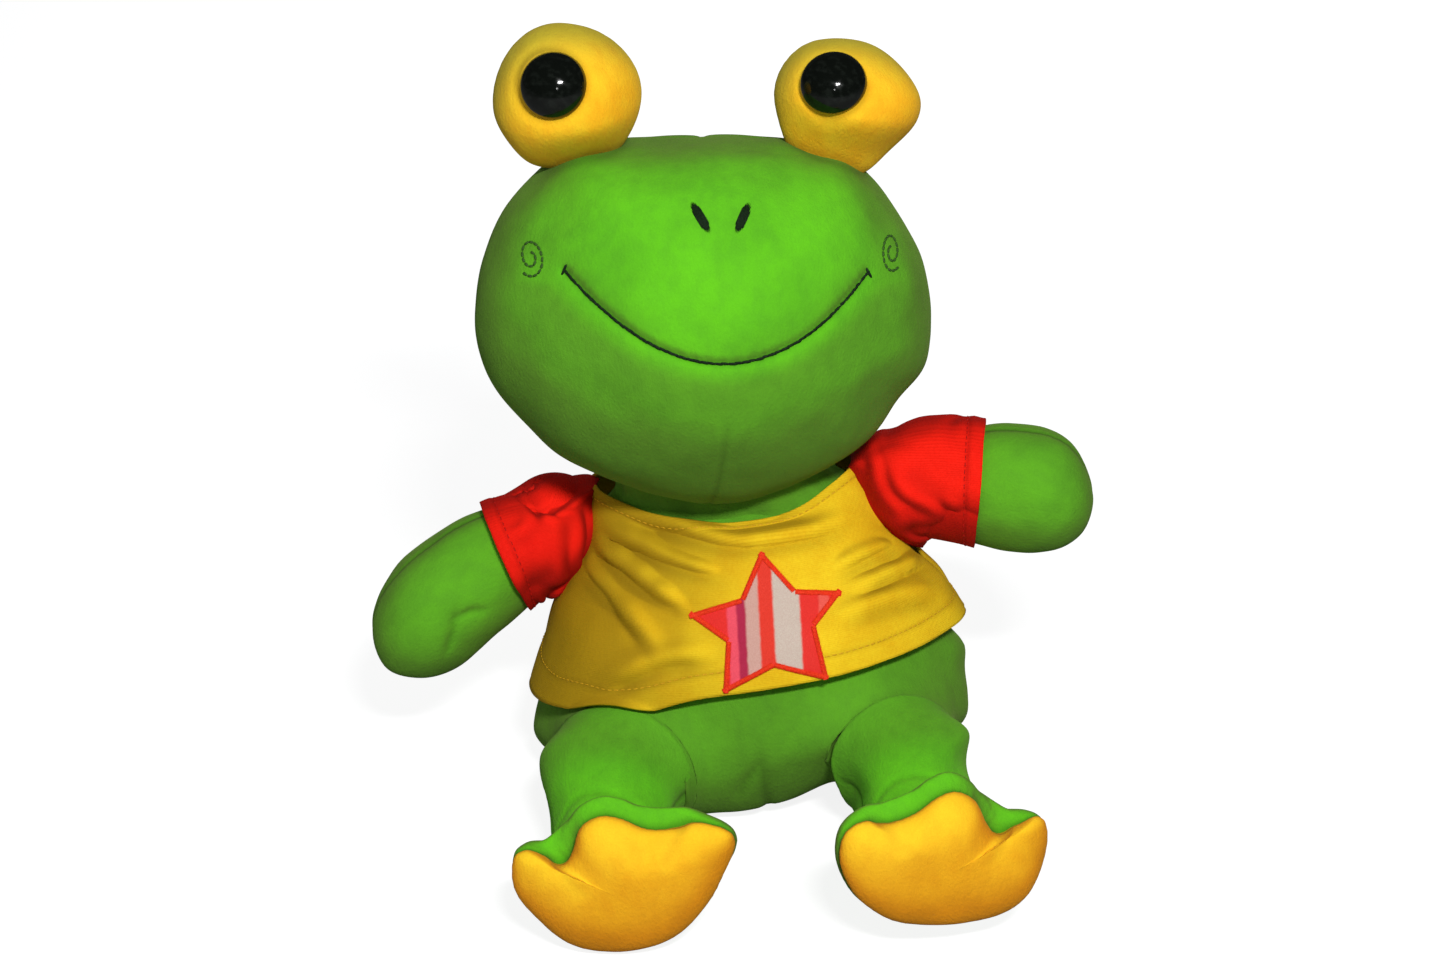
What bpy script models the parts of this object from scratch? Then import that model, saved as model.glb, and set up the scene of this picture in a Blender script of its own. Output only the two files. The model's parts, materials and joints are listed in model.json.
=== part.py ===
"""A stuffed plush frog in a T-shirt, seated on a flat floor with its legs stretched forward.

Metres, +Z up. The frog faces -Y, and +X is its own left side. The origin is under the middle of the
seat, on the floor. Each soft piece is a sewn skin with its own stuffing inside. The limbs, the head
and the eye bulbs have ball-shaped roots that turn in dents, where the real seams flex.
"""

import math

import bmesh
import bpy
from mathutils import Matrix, Vector

# Clearances and cloth
BALL_GAP = 0.0004
SEAM_GAP = 0.0006
STUFFING_GAP = 0.0004
TRIM_GAP = 0.0003
PLUSH_THICKNESS = 0.0022
JERSEY_THICKNESS = 0.0012
FLAT_DEPTH = 0.0005
FLOOR_SOFTNESS = 0.0030
FLOOR_FREE_SHARE = 20
CUT_OVERRUN = 0.004
ROOT_OPENING_SHARE = 0.30

# Torso, in its own frame, from the seat to the neck
TORSO_HEIGHT = 0.128
TORSO_HALF_WIDTH = 0.081
TORSO_HALF_DEPTH = 0.061
TORSO_SINK = 0.012
TORSO_WIDEST_SHARE = 0.36
TORSO_TAPER_SHARE = 0.28
TORSO_TAPER_POWER_SHARE = 1.5
TORSO_FULLNESS_SHARES = (3.1, 3.0)
TORSO_LEAN_SIDE_DEG = -5.0
TORSO_LEAN_BACK_DEG = 9.0

# Neck
NECK_RADIUS = 0.027
NECK_STANDOFF = 0.0020

# Head, measured from its widest level
HEAD_HALF_WIDTH = 0.089
HEAD_HALF_DEPTH = 0.063
HEAD_BELOW = 0.067
HEAD_ABOVE = 0.073
HEAD_FULLNESS_SHARES = (2.05, 2.9)
HEAD_SHIFT = 0.011
HEAD_FORWARD = 0.010
HEAD_TURN_DEG = 8.0
HEAD_BACK_DEG = 10.0
HEAD_ROLL_DEG = 3.0
MUZZLE_PUSH = 0.006
MUZZLE_HALF_WIDTH = 0.055
MUZZLE_HALF_HEIGHT = 0.045

# Eye bulbs
BULB_ROOT_RADIUS = 0.0180
BULB_RADIUS = 0.0285
BULB_LENGTH = {"left": 0.0400, "right": 0.0430}
BULB_SIDE = 0.050
BULB_SHIFT = {"left": -0.0015, "right": 0.0}
BULB_ROOT_SHARE = 0.26
BULB_FLARE_SHARE = 0.30
BULB_FORWARD = 0.004
BULB_STANDOFF = 0.0090
BULB_SPLAY_DEG = 10.0
BULB_BACK_DEG = {"left": 2.0, "right": -8.0}

# Safety eyes
EYE_RADIUS = 0.0125
EYE_DOME_HEIGHT = 0.0070
EYE_DOME_STEPS = 5
EYE_POST_RISE_SHARE = 0.4
EYE_RISE_DEG = {"left": 21.0, "right": 30.0}
EYE_TURN_DEG = {"left": -26.0, "right": -18.0}
POST_RADIUS = 0.0024
POST_LENGTH = 0.0150
POST_RIDGE = 0.0004
POST_RIDGE_COUNT = 3
POST_RIDGE_SPACING_SHARE = 0.15
WASHER_RADIUS = 0.0085
WASHER_THICKNESS = 0.0014
WASHER_DEPTH = 0.0050

# Arms
ARM_ROOT_RADIUS = 0.0190
ARM_HAND_RADIUS = 0.0250
ARM_LENGTH = {"left": 0.078, "right": 0.084}
ARM_DROOP_DEG = {"left": 1.0, "right": 33.0}
ARM_FORWARD_DEG = {"left": 6.0, "right": 12.0}
SHOULDER_RISE = {"left": 0.106, "right": 0.1020}
SHOULDER_STANDOFF = 0.0183

# Legs
LEG_ROOT_RADIUS = 0.0255
LEG_ANKLE_RADIUS = 0.0210
LEG_LENGTH = 0.050
HIP_SIDE = 0.060
HIP_FORWARD = 0.062
HIP_HEIGHT = {"left": 0.0300, "right": 0.0260}
LEG_SPLAY_DEG = {"left": 4.0, "right": 0.0}
LEG_RAISE_DEG = {"left": 1.0, "right": -3.0}

# Feet, seen from the sole
FOOT_HALF_WIDTH = 0.0420
FOOT_HEIGHT = 0.0570
FOOT_SOLE_BULGE = 0.011
FOOT_UPPER_BULGE = 0.016
FOOT_FULLNESS_SHARE = 2.5
FOOT_BACK_DEG = {"left": 10.0, "right": 8.0}
FOOT_ROLL_DEG = {"left": 7.0, "right": -9.0}
FOOT_SPLAY_DEG = {"left": 17.0, "right": 0.0}
FOOT_SHIFT = {"left": -0.004, "right": 0.007}
ANKLE_STANDOFF = 0.009
FOOT_CENTRE_SHARE = 0.46
FOOT_OUTLINE_SHARES = (
    (0.08, 1.00), (0.27, 0.94), (0.40, 0.79), (0.52, 0.73), (0.66, 0.80), (0.84, 0.86),
    (0.97, 0.80), (0.99, 0.62), (0.87, 0.40), (0.58, 0.13), (0.22, 0.01), (-0.22, 0.01),
    (-0.58, 0.11), (-0.85, 0.28), (-0.99, 0.52), (-0.96, 0.72), (-0.76, 0.83), (-0.50, 0.82),
    (-0.30, 0.86), (-0.10, 0.96),
)

# Shirt, on the torso, between hem and neckline
SHIRT_EASE = 0.0016
HEM_FLARE = 0.0050
FLARE_SHARE = 0.55
FOLD_DEPTH = 0.0028
FOLD_COUNT = 5
FOLD_SWAY_SHARE = 1.2
FOLD_HEM_SHARE = 0.5
HEM_RISE_SHARES = (0.515, 0.020)
NECKLINE_RISE_SHARES = (0.860, 0.040)
UNDERARM_SHARES = {"left": 0.30, "right": 0.20}
RAGLAN_TURN_SHARE = 0.080
RAGLAN_CURVE_SHARE = 0.6
SLEEVE_NECK_SHARE = 0.22
SLEEVE_RADIUS = 0.0242
SLEEVE_LENGTH = 0.031
CUFF_SKEW = {"left": 0.0, "right": 0.002}

# Star on the chest, about its centre in the torso frame
STAR_RADIUS = 0.0310
STAR_NOTCH_SHARE = 0.50
STAR_CENTRE = (0.0105, 0.0795)
STAR_HEIGHT_SHARE = 0.90
STAR_TILT_DEG = -2.0
STAR_LIFT = 0.0009
STAR_THICKNESS = 0.0008
BORDER_WIDTH = 0.0022
BORDER_THICKNESS = 0.0014

# Embroidery on the face, in the head frame, as seen from the front
THREAD_HALF_WIDTH = 0.0011
THREAD_HALF_HEIGHT = 0.0006
SWIRL_THREAD_HALF_WIDTH = 0.0009
NOSTRIL_HALF_WIDTH = 0.0018
MOUTH_HALF_WIDTH = 0.0595
MOUTH_SHIFT = 0.003
MOUTH_END_HEIGHT = 0.031
MOUTH_DROP = 0.031
NOSTRIL_TOP = (0.0110, 0.059)
NOSTRIL_END = (0.0050, 0.049)
SWIRL_CENTRE = (0.072, 0.034)
SWIRL_RADIUS = 0.0062
SWIRL_TURNS_SHARE = 1.6
SWIRL_INNER_SHARE = 0.25
SWIRL_WIDTH_SHARE = 0.8
SWIRL_HEIGHT_SHARE = 1.2
NOSTRIL_END_SHARE = 0.15

STEP_SHARE = 0.002
SOLVE_STEPS = 8
SOLVE_SHARE = 0.004
SOLVE_START_SHARES = (0.75, 0.60)
TOP_SEARCH_COUNT = 120
SMOOTH_ANGLE_DEG = 40.0

# Mesh counts, round a form and from pole to pole
TORSO_COUNTS = (26, 13)
TORSO_INNER_COUNTS = (16, 10)
HEAD_COUNTS = (26, 14)
HEAD_INNER_COUNTS = (14, 8)
LIMB_COUNTS = (14, 10)
LIMB_INNER_COUNTS = (8, 7)
BULB_INNER_COUNTS = (12, 9)
FOOT_COUNTS = (22, 6)
PANEL_COUNTS = (20, 7)
SLEEVE_COUNTS = (16, 5)
BADGE_COUNTS = (20, 2)
BORDER_COUNTS = (20, 1)
BALL_COUNTS = (16, 8)
NECK_COUNTS = (20, 10)
SOFT_BALL_COUNTS = (12, 6)
OPENING_COUNTS = (10, 5)
DOME_COLUMNS = 18
POST_COLUMNS = 8
BORE_COLUMNS = 10
WASHER_COLUMNS = 12
THREAD_SIDES = 5
MOUTH_STEPS = 22
NOSTRIL_STEPS = 6
SWIRL_STEPS = 16
SIDES = {"left": 1, "right": -1}


def ease(share):
    """A smooth step from 0 to 1."""
    share = min(max(share, 0.0), 1.0)
    return share * share * (3 - 2 * share)


def mix(start, end, share):
    """A straight blend of two values."""
    return start + (end - start) * share


def turned(degrees, axis):
    """A rotation matrix about one of the axes."""
    return Matrix.Rotation(math.radians(degrees), 4, axis)


class Form:
    """A soft surface. place gives its point for a turn round it and a rise from pole to pole."""

    def __init__(self, place):
        self.place = place

    def outward(self, turn, rise):
        """The unit normal that points out of the form."""
        if rise < STEP_SHARE or rise > 1 - STEP_SHARE:
            near = min(max(rise, STEP_SHARE), 1 - STEP_SHARE)
            return sum((self.outward(turn + part / 4, near) for part in range(4)), Vector()).normalized()
        round_it = self.place(turn + STEP_SHARE, rise) - self.place(turn - STEP_SHARE, rise)
        along = self.place(turn, rise + STEP_SHARE) - self.place(turn, rise - STEP_SHARE)
        return round_it.cross(along).normalized()

    def point(self, turn, rise, lift=0.0):
        """The surface point, lifted off the surface. A negative lift goes inwards."""
        return self.place(turn, rise) + self.outward(turn, rise) * lift


def power(value, fullness):
    """A signed power, that rounds a circle towards a box as the fullness grows past 2."""
    return math.copysign(abs(value) ** (2 / fullness), value)


def settled(point):
    """Press a point that would be under the floor up to just above it."""
    depth = point.z / FLOOR_SOFTNESS
    lifted = FLOOR_SOFTNESS * math.log1p(math.exp(depth)) if depth < FLOOR_FREE_SHARE else point.z
    return Vector((point.x, point.y, lifted - FLAT_DEPTH))


def torso_local(turn, rise, inset):
    """The torso's surface in its own frame, set in from its skin. The seat pole is below zero."""
    angle = math.tau * turn
    polar = math.pi * (rise - 0.5)
    fullness = TORSO_FULLNESS_SHARES[polar > 0]
    below = TORSO_HEIGHT * TORSO_WIDEST_SHARE
    reach = (TORSO_HEIGHT - below if polar > 0 else below + TORSO_SINK) - inset
    height = power(math.sin(polar), fullness)
    taper = 1 - TORSO_TAPER_SHARE * max(height, 0.0) ** TORSO_TAPER_POWER_SHARE
    size = power(math.cos(polar), fullness) * taper
    return Vector((
        (TORSO_HALF_WIDTH - inset) * size * math.cos(angle),
        (TORSO_HALF_DEPTH - inset) * size * math.sin(angle),
        below + reach * height,
    ))


TORSO_FRAME = turned(TORSO_LEAN_SIDE_DEG, "Y") @ turned(-TORSO_LEAN_BACK_DEG, "X")


def round_rise(height):
    """The rise of the torso's surface at a height above its widest level."""
    low = TORSO_HEIGHT * TORSO_WIDEST_SHARE
    share = (height - low) / (TORSO_HEIGHT - low)
    return 0.5 + math.asin(share ** (TORSO_FULLNESS_SHARES[1] / 2)) / math.pi


def torso_form(inset=0.0):
    """The torso in the world, settled on the floor and set in from its skin."""
    rest = Vector((0, 0, inset))

    def place(turn, rise):
        return settled(TORSO_FRAME @ torso_local(turn, rise, inset) - rest) + rest

    return Form(place)


def head_form(frame):
    """The head, wider than deep, with a low muzzle pushed out of its front."""

    def place(turn, rise):
        angle = math.tau * turn
        polar = math.pi * (rise - 0.5)
        fullness = HEAD_FULLNESS_SHARES[polar > 0]
        reach = HEAD_ABOVE if polar > 0 else HEAD_BELOW
        size = power(math.cos(polar), fullness)
        across = HEAD_HALF_WIDTH * size * math.cos(angle)
        depth = HEAD_HALF_DEPTH * size * math.sin(angle)
        height = reach * power(math.sin(polar), fullness)
        if depth < 0:
            bump = math.exp(-(across / MUZZLE_HALF_WIDTH) ** 2 - (height / MUZZLE_HALF_HEIGHT) ** 2)
            depth += MUZZLE_PUSH * bump * depth / HEAD_HALF_DEPTH
        return frame @ Vector((across, depth, height))

    return Form(place)


def limb_form(frame, root_radius, tip_radius, length):
    """A limb along +Z of its frame, with a ball at its origin and a rounded tip."""
    root_share = 0.30
    tip_share = 0.68

    def place(turn, rise):
        angle = math.tau * turn
        if rise < root_share:
            polar = math.pi / 2 * rise / root_share
            along = -root_radius * math.cos(polar)
            radius = root_radius * math.sin(polar)
        elif rise < tip_share:
            share = (rise - root_share) / (tip_share - root_share)
            along = (length - tip_radius) * share
            radius = mix(root_radius, tip_radius, ease(share))
        else:
            polar = math.pi / 2 * (rise - tip_share) / (1 - tip_share)
            along = length - tip_radius + tip_radius * math.sin(polar)
            radius = tip_radius * math.cos(polar)
        return frame @ Vector((radius * math.cos(angle), radius * math.sin(angle), along))

    return Form(place)


def foot_outline(turn):
    """The outline of a foot as shares of its half width and its height, smooth between its points."""
    spot = turn % 1.0 * len(FOOT_OUTLINE_SHARES)
    first = math.floor(spot)
    share = spot - first
    points = [
        Vector(FOOT_OUTLINE_SHARES[(first + step) % len(FOOT_OUTLINE_SHARES)]) for step in (-1, 0, 1, 2)
    ]
    before, start, end, after = points
    return 0.5 * (
        2 * start
        + (end - before) * share
        + (2 * before - 5 * start + 4 * end - after) * share**2
        + (3 * start - before - 3 * end + after) * share**3
    )


def foot_form(frame, side, inset=0.0):
    """A padded foot, set in from its skin. Its sole faces -Y of its frame, and its upper +Y."""

    def place(turn, rise):
        spot = foot_outline(turn * side)
        polar = math.pi * (rise - 0.5)
        bulge = FOOT_UPPER_BULGE if polar > 0 else FOOT_SOLE_BULGE
        size = power(math.cos(polar), FOOT_FULLNESS_SHARE)
        return frame @ Vector((
            (FOOT_HALF_WIDTH - inset) * spot.x * size * side,
            (bulge - inset) * power(math.sin(polar), FOOT_FULLNESS_SHARE),
            (FOOT_HEIGHT - 2 * inset) * (spot.y - FOOT_CENTRE_SHARE) * size,
        ))

    return Form(place)


def make_material(name, colour, roughness):
    """A plain finish, not metallic."""
    material = bpy.data.materials.new(name)
    material.use_nodes = True
    shader = material.node_tree.nodes["Principled BSDF"]
    shader.inputs["Base Color"].default_value = (*colour, 1.0)
    shader.inputs["Roughness"].default_value = roughness
    shader.inputs["Metallic"].default_value = 0.0
    material.diffuse_color = (*colour, 1.0)
    return material


def face_out(shape):
    """Turn every face of a closed mesh outwards."""
    bmesh.ops.recalc_face_normals(shape, faces=shape.faces)
    if shape.calc_volume(signed=True) < 0:
        bmesh.ops.reverse_faces(shape, faces=shape.faces)


class Builder:
    """Adds pivots and pieces to the scene."""

    def __init__(self):
        for thing in list(bpy.data.objects):
            bpy.data.objects.remove(thing)

    def pivot(self, name, frame, parent=None):
        """An empty at a joint, or at the root of the assembly."""
        empty = bpy.data.objects.new(name, None)
        empty.empty_display_size = NECK_RADIUS
        bpy.context.scene.collection.objects.link(empty)
        empty.parent = parent
        empty.matrix_world = frame
        if parent:
            empty.matrix_parent_inverse = Matrix.Identity(4)
            empty.matrix_basis = parent.matrix_world.inverted() @ frame
        bpy.context.view_layer.update()
        return empty

    def piece(self, name, shape, finish, pivot):
        """A named piece from a bmesh in world coordinates. The bmesh is used up."""
        mesh = bpy.data.meshes.new(name)
        bmesh.ops.transform(shape, matrix=pivot.matrix_world.inverted(), verts=shape.verts)
        face_out(shape)
        shape.to_mesh(mesh)
        shape.free()
        mesh.shade_smooth()
        mesh.set_sharp_from_angle(angle=math.radians(SMOOTH_ANGLE_DEG))
        thing = bpy.data.objects.new(name, mesh)
        thing.parent = pivot
        bpy.context.scene.collection.objects.link(thing)
        mesh.materials.append(make_material(name + "_finish", *finish))
        bpy.context.view_layer.update()
        return thing


def closed_shape(form, columns, rings, lift=0.0):
    """A closed mesh of a form, with a single vertex at each pole."""
    shape = bmesh.new()
    bottom = shape.verts.new(form.point(0, 0, lift))
    rows = []
    for ring in range(1, rings):
        rows.append([
            shape.verts.new(form.point(column / columns, ring / rings, lift)) for column in range(columns)
        ])
    top = shape.verts.new(form.point(0, 1, lift))
    for column in range(columns):
        following = (column + 1) % columns
        shape.faces.new((bottom, rows[0][following], rows[0][column]))
        shape.faces.new((top, rows[-1][column], rows[-1][following]))
        for lower, upper in zip(rows, rows[1:]):
            shape.faces.new((lower[column], lower[following], upper[following], upper[column]))
    return shape


def slab_shape(surface, counts, inner, outer, wraps=False):
    """A cloth of even thickness. surface gives its point across it, up it and at a lift."""
    columns, rows = counts
    shape = bmesh.new()
    width = columns if wraps else columns + 1
    layers = []
    for lift in (inner, outer):
        layers.append([
            [shape.verts.new(surface(column / columns, row / rows, lift)) for column in range(width)]
            for row in range(rows + 1)
        ])
    for column in range(columns):
        following = (column + 1) % width
        for row in range(rows):
            for layer in layers:
                low, high = layer[row], layer[row + 1]
                shape.faces.new((low[column], low[following], high[following], high[column]))
        for row in (0, rows):
            low, high = layers[0][row], layers[1][row]
            shape.faces.new((low[column], low[following], high[following], high[column]))
    if not wraps:
        for column in (0, columns):
            for row in range(rows):
                inside, outside = layers[0], layers[1]
                shape.faces.new((
                    inside[row][column], inside[row + 1][column],
                    outside[row + 1][column], outside[row][column],
                ))
    bmesh.ops.remove_doubles(shape, verts=shape.verts, dist=STEP_SHARE * PLUSH_THICKNESS)
    return shape


def strip_shape(points, normals, half_widths, half_height, sides):
    """A raised line of stitches through points, with a flat oval section and pointed ends."""
    shape = bmesh.new()
    rings = []
    for index in range(1, len(points) - 1):
        along = (points[index + 1] - points[index - 1]).normalized()
        across = along.cross(normals[index]).normalized()
        ring = []
        for step in range(sides):
            angle = math.tau * step / sides
            ring.append(shape.verts.new(
                points[index]
                + across * half_widths[index] * math.cos(angle)
                + normals[index] * half_height * math.sin(angle)
            ))
        rings.append(ring)
    start = shape.verts.new(points[0])
    end = shape.verts.new(points[-1])
    for step in range(sides):
        following = (step + 1) % sides
        shape.faces.new((start, rings[0][following], rings[0][step]))
        shape.faces.new((end, rings[-1][step], rings[-1][following]))
        for low, high in zip(rings, rings[1:]):
            shape.faces.new((low[step], low[following], high[following], high[step]))
    return shape


def ball_shape(centre, radius, counts=BALL_COUNTS, around=False):
    """A ball about a point. around sizes it so that its flat facets clear a round ball."""
    columns, rings = counts
    shape = bmesh.new()
    place = Matrix.Translation(centre)
    if around:
        radius /= math.cos(math.pi / columns) * math.cos(math.pi / 2 / rings)
        place @= Matrix.Rotation(math.pi / columns, 4, "Z")
    bmesh.ops.create_uvsphere(shape, u_segments=columns, v_segments=rings, radius=radius, matrix=place)
    return shape


def lathe_shape(frame, profile, columns):
    """A turned solid about +Z of its frame, from pairs of radius and height that start and end at 0."""
    shape = bmesh.new()
    rings = []
    for radius, height in profile:
        if radius == 0:
            rings.append([shape.verts.new(frame @ Vector((0, 0, height)))] * columns)
            continue
        ring = []
        for column in range(columns):
            angle = math.tau * column / columns
            spot = Vector((radius * math.cos(angle), radius * math.sin(angle), height))
            ring.append(shape.verts.new(frame @ spot))
        rings.append(ring)
    for low, high in zip(rings, rings[1:]):
        for column in range(columns):
            following = (column + 1) % columns
            corners = (low[column], low[following], high[following], high[column])
            shape.faces.new(tuple(dict.fromkeys(corners)))
    return shape


def carve(thing, shape, operation="DIFFERENCE"):
    """Cut a shape out of a piece, or join it on. The shape is used up."""
    face_out(shape)
    mesh = bpy.data.meshes.new("cutter")
    shape.to_mesh(mesh)
    shape.free()
    cutter = bpy.data.objects.new("cutter", mesh)
    bpy.context.scene.collection.objects.link(cutter)
    cut = thing.modifiers.new("cut", "BOOLEAN")
    cut.operation = operation
    cut.solver = "EXACT"
    cut.object = cutter
    bpy.context.view_layer.update()
    result = bpy.data.meshes.new_from_object(thing.evaluated_get(bpy.context.evaluated_depsgraph_get()))
    thing.modifiers.clear()
    spare = thing.data
    thing.data = result
    bpy.data.meshes.remove(spare)
    result.name = thing.name
    bpy.data.objects.remove(cutter)
    bpy.data.meshes.remove(mesh)
    bpy.context.view_layer.update()


def seated(thing, spot, out, lift):
    """A spot brought along its outward direction onto a piece's skin, then lifted off it."""
    inverse = thing.matrix_world.inverted()
    start = inverse @ (spot + out * CUT_OVERRUN)
    _, place, _, _ = thing.ray_cast(start, inverse.to_3x3() @ -out)
    return thing.matrix_world @ place + out * lift


def cut_flat(thing):
    """Cut the seat flat on the floor."""
    shape = bmesh.new()
    shape.from_mesh(thing.data)
    floor = thing.matrix_world.inverted()
    cut = bmesh.ops.bisect_plane(
        shape,
        geom=shape.verts[:] + shape.edges[:] + shape.faces[:],
        plane_co=floor.translation,
        plane_no=floor.to_3x3() @ Vector((0, 0, 1)),
        clear_inner=True,
    )
    rim = [item for item in cut["geom_cut"] if isinstance(item, bmesh.types.BMEdge)]
    bmesh.ops.edgenet_fill(shape, edges=rim)
    face_out(shape)
    shape.to_mesh(thing.data)
    shape.free()


# Colours as linear red, green and blue, with a roughness
GREEN = ((0.095, 0.370, 0.018), 0.95)
YELLOW = ((0.930, 0.480, 0.020), 0.95)
JERSEY = ((0.760, 0.520, 0.030), 0.90)
RED = ((0.720, 0.020, 0.008), 0.90)
THREAD = ((0.030, 0.055, 0.012), 0.60)
STUFFING = ((0.850, 0.850, 0.830), 1.00)
BLACK = ((0.004, 0.005, 0.004), 0.08)
WASHER = ((0.650, 0.650, 0.630), 0.45)
BADGE = ((0.450, 0.030, 0.050), 0.85)
BORDER = ((0.620, 0.060, 0.020), 0.70)


def stuffed(builder, name, forms, pivot, finish, counts, cutters=()):
    """A sewn skin with its stuffing. cutters are balls, of a centre, radius and counts, that dent both."""
    outer, cavity, core = forms
    skin = builder.piece(name + "_cover", closed_shape(outer, *counts[0]), finish, pivot)
    carve(skin, closed_shape(cavity, *counts[1]))
    filling = builder.piece(name + "_stuffing", closed_shape(core, *counts[1]), STUFFING, pivot)
    for centre, radius, ball_counts in cutters:
        carve(skin, ball_shape(centre, radius, ball_counts, around=True))
        carve(filling, ball_shape(centre, radius + STUFFING_GAP, SOFT_BALL_COUNTS, around=True))
    return skin, filling


def layers(form):
    """The outside of a skin, its inside, and the stuffing."""
    return tuple(
        Form(lambda turn, rise, lift=lift: form.point(turn, rise, -lift))
        for lift in (0.0, PLUSH_THICKNESS, PLUSH_THICKNESS + STUFFING_GAP)
    )


def open_root(skin, frame, radius):
    """Leave a skin open at its root, where its stuffing goes in."""
    pole = frame @ Vector((0, 0, -radius))
    carve(skin, ball_shape(pole, radius * ROOT_OPENING_SHARE, OPENING_COUNTS))


def build_limb(builder, name, frame, pivot, sizes, finish):
    """A stuffed limb whose skin is left open at the root pole."""
    root_radius, tip_radius, length = sizes
    form = limb_form(frame, root_radius, tip_radius, length)
    counts = (LIMB_COUNTS, LIMB_INNER_COUNTS)
    skin, _ = stuffed(builder, name, layers(form), pivot, finish, counts)
    open_root(skin, frame, root_radius)


def shirt_rise(turn, share):
    """The torso rise of a shirt point, for a share of the way from hem to neckline."""
    front = 0.5 - 0.5 * math.sin(math.tau * turn)
    hem, hem_tilt = HEM_RISE_SHARES
    neck, neck_dip = NECKLINE_RISE_SHARES
    low = hem + hem_tilt * 0.5 * math.cos(math.tau * turn)
    high = neck - neck_dip * front
    return mix(low, high, share)


def shirt_lift(turn, share):
    """How far the shirt hangs off the torso. It flares and folds towards its hem."""
    low = 1 - ease(share / FLARE_SHARE)
    sway = FOLD_SWAY_SHARE * math.sin(math.tau * turn)
    wave = 0.5 + 0.5 * math.cos(math.tau * FOLD_COUNT * turn + sway)
    drape = math.sin(math.pi * min(share / UNDERARM_SHARES["left"], 1.0)) ** 2
    return SHIRT_EASE + HEM_FLARE * low + FOLD_DEPTH * wave * mix(drape, low, FOLD_HEM_SHARE)


def shirt_point(torso, turn, share, lift):
    """A point of the shirt, lifted off its inner face."""
    return torso.point(turn, shirt_rise(turn, share), shirt_lift(turn, share) + lift)


def seam_offset(share, name):
    """How far a panel's edge lies from the side seam, as a share of a turn."""
    over = (share - UNDERARM_SHARES[name]) / (1 - UNDERARM_SHARES[name])
    return RAGLAN_TURN_SHARE * max(over, 0.0) ** RAGLAN_CURVE_SHARE


def seam_share():
    """Half a seam's gap as a share of a turn round the torso."""
    return SEAM_GAP / 2 / (math.tau * TORSO_HALF_DEPTH)


def panel_surface(torso, start):
    """The front panel starts at half a turn, and the back panel at none."""

    first, last = ("right", "left") if start else ("left", "right")

    def surface(across, share, lift):
        begin = start + seam_offset(share, first) + seam_share()
        end = start + 0.5 - seam_offset(share, last) - seam_share()
        turn = mix(begin, end, across)
        return shirt_point(torso, turn, share, lift)

    return surface


def sleeve_form(torso, frame, name):
    """A raglan sleeve, from its seam round the armhole to its cuff round the arm."""
    side = SIDES[name]
    side_turn = 0.0 if side > 0 else 0.5
    turning = frame.to_3x3()
    up, front, axis = -side * turning.col[0], -turning.col[1], turning.col[2]
    pivot = frame.translation
    shoulder = torso.outward(side_turn, round_rise(SHOULDER_RISE[name]))
    middle = (shoulder + axis).normalized()

    def armhole(turn):
        towards = 1 if turn < 0.5 else -1
        share = min(turn, 1 - turn) / 0.5
        if share < SLEEVE_NECK_SHARE:
            offset = (RAGLAN_TURN_SHARE - seam_share()) * share / SLEEVE_NECK_SHARE
            height = 1.0
        else:
            down = (share - SLEEVE_NECK_SHARE) / (1 - SLEEVE_NECK_SHARE)
            height = mix(1.0, UNDERARM_SHARES[name], down)
            offset = max(seam_offset(height, name) - seam_share(), 0.0)
        lift = JERSEY_THICKNESS * 1.5 + SEAM_GAP * 2.5
        spot = shirt_point(torso, side_turn - side * towards * offset, height, lift)
        return spot - pivot

    def place(turn, rise):
        turn = (turn * side) % 1.0
        start = armhole(turn)
        angle = math.tau * turn
        away = (up * math.cos(angle) + front * math.sin(angle)) * SLEEVE_RADIUS
        waist = away - axis * away.dot(middle) / axis.dot(middle)
        cuff = away + axis * (SLEEVE_LENGTH - CUFF_SKEW[name] * (1 + math.cos(angle)) / 2)
        arc = start.angle(waist) * SLEEVE_RADIUS
        spot = rise * (arc + (cuff - waist).length)
        if spot < arc:
            share = spot / arc
            reach = mix(start.length, waist.length, share)
            return pivot + start.normalized().slerp(waist.normalized(), share) * reach
        return pivot + waist.lerp(cuff, (spot - arc) / (cuff - waist).length)

    return Form(place)


def sleeve_shape(torso, frame, name, half_thickness):
    """A sleeve's cloth, of a given half thickness."""
    sleeve = sleeve_form(torso, frame, name)
    return slab_shape(sleeve.point, SLEEVE_COUNTS, -half_thickness, half_thickness, wraps=True)


def solve_spot(place, frame, target):
    """The two surface coordinates whose point has a given across and up in a frame."""
    inverse = frame.inverted()
    spot = Vector(SOLVE_START_SHARES)
    for _ in range(SOLVE_STEPS):
        here = inverse @ place(*spot)
        step_turn = inverse @ place(spot.x + SOLVE_SHARE, spot.y) - here
        step_rise = inverse @ place(spot.x, spot.y + SOLVE_SHARE) - here
        matrix = Matrix(((step_turn.x, step_rise.x), (step_turn.z, step_rise.z)))
        miss = Vector((target[0] - here.x, target[1] - here.z))
        spot += matrix.inverted() @ miss * SOLVE_SHARE
    return spot


def star_outline(turn, radius):
    """A rounded five-pointed star about zero, for a turn from its top point."""
    spot = turn * 10
    first = math.floor(spot)
    corners = []
    for index in (first, first + 1):
        reach = radius * (STAR_NOTCH_SHARE if index % 2 else 1.0)
        angle = math.radians(STAR_TILT_DEG) + math.tau * index / 10
        corners.append(Vector((reach * math.sin(angle), reach * math.cos(angle))))
    return corners[0].lerp(corners[1], spot - first)


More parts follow.
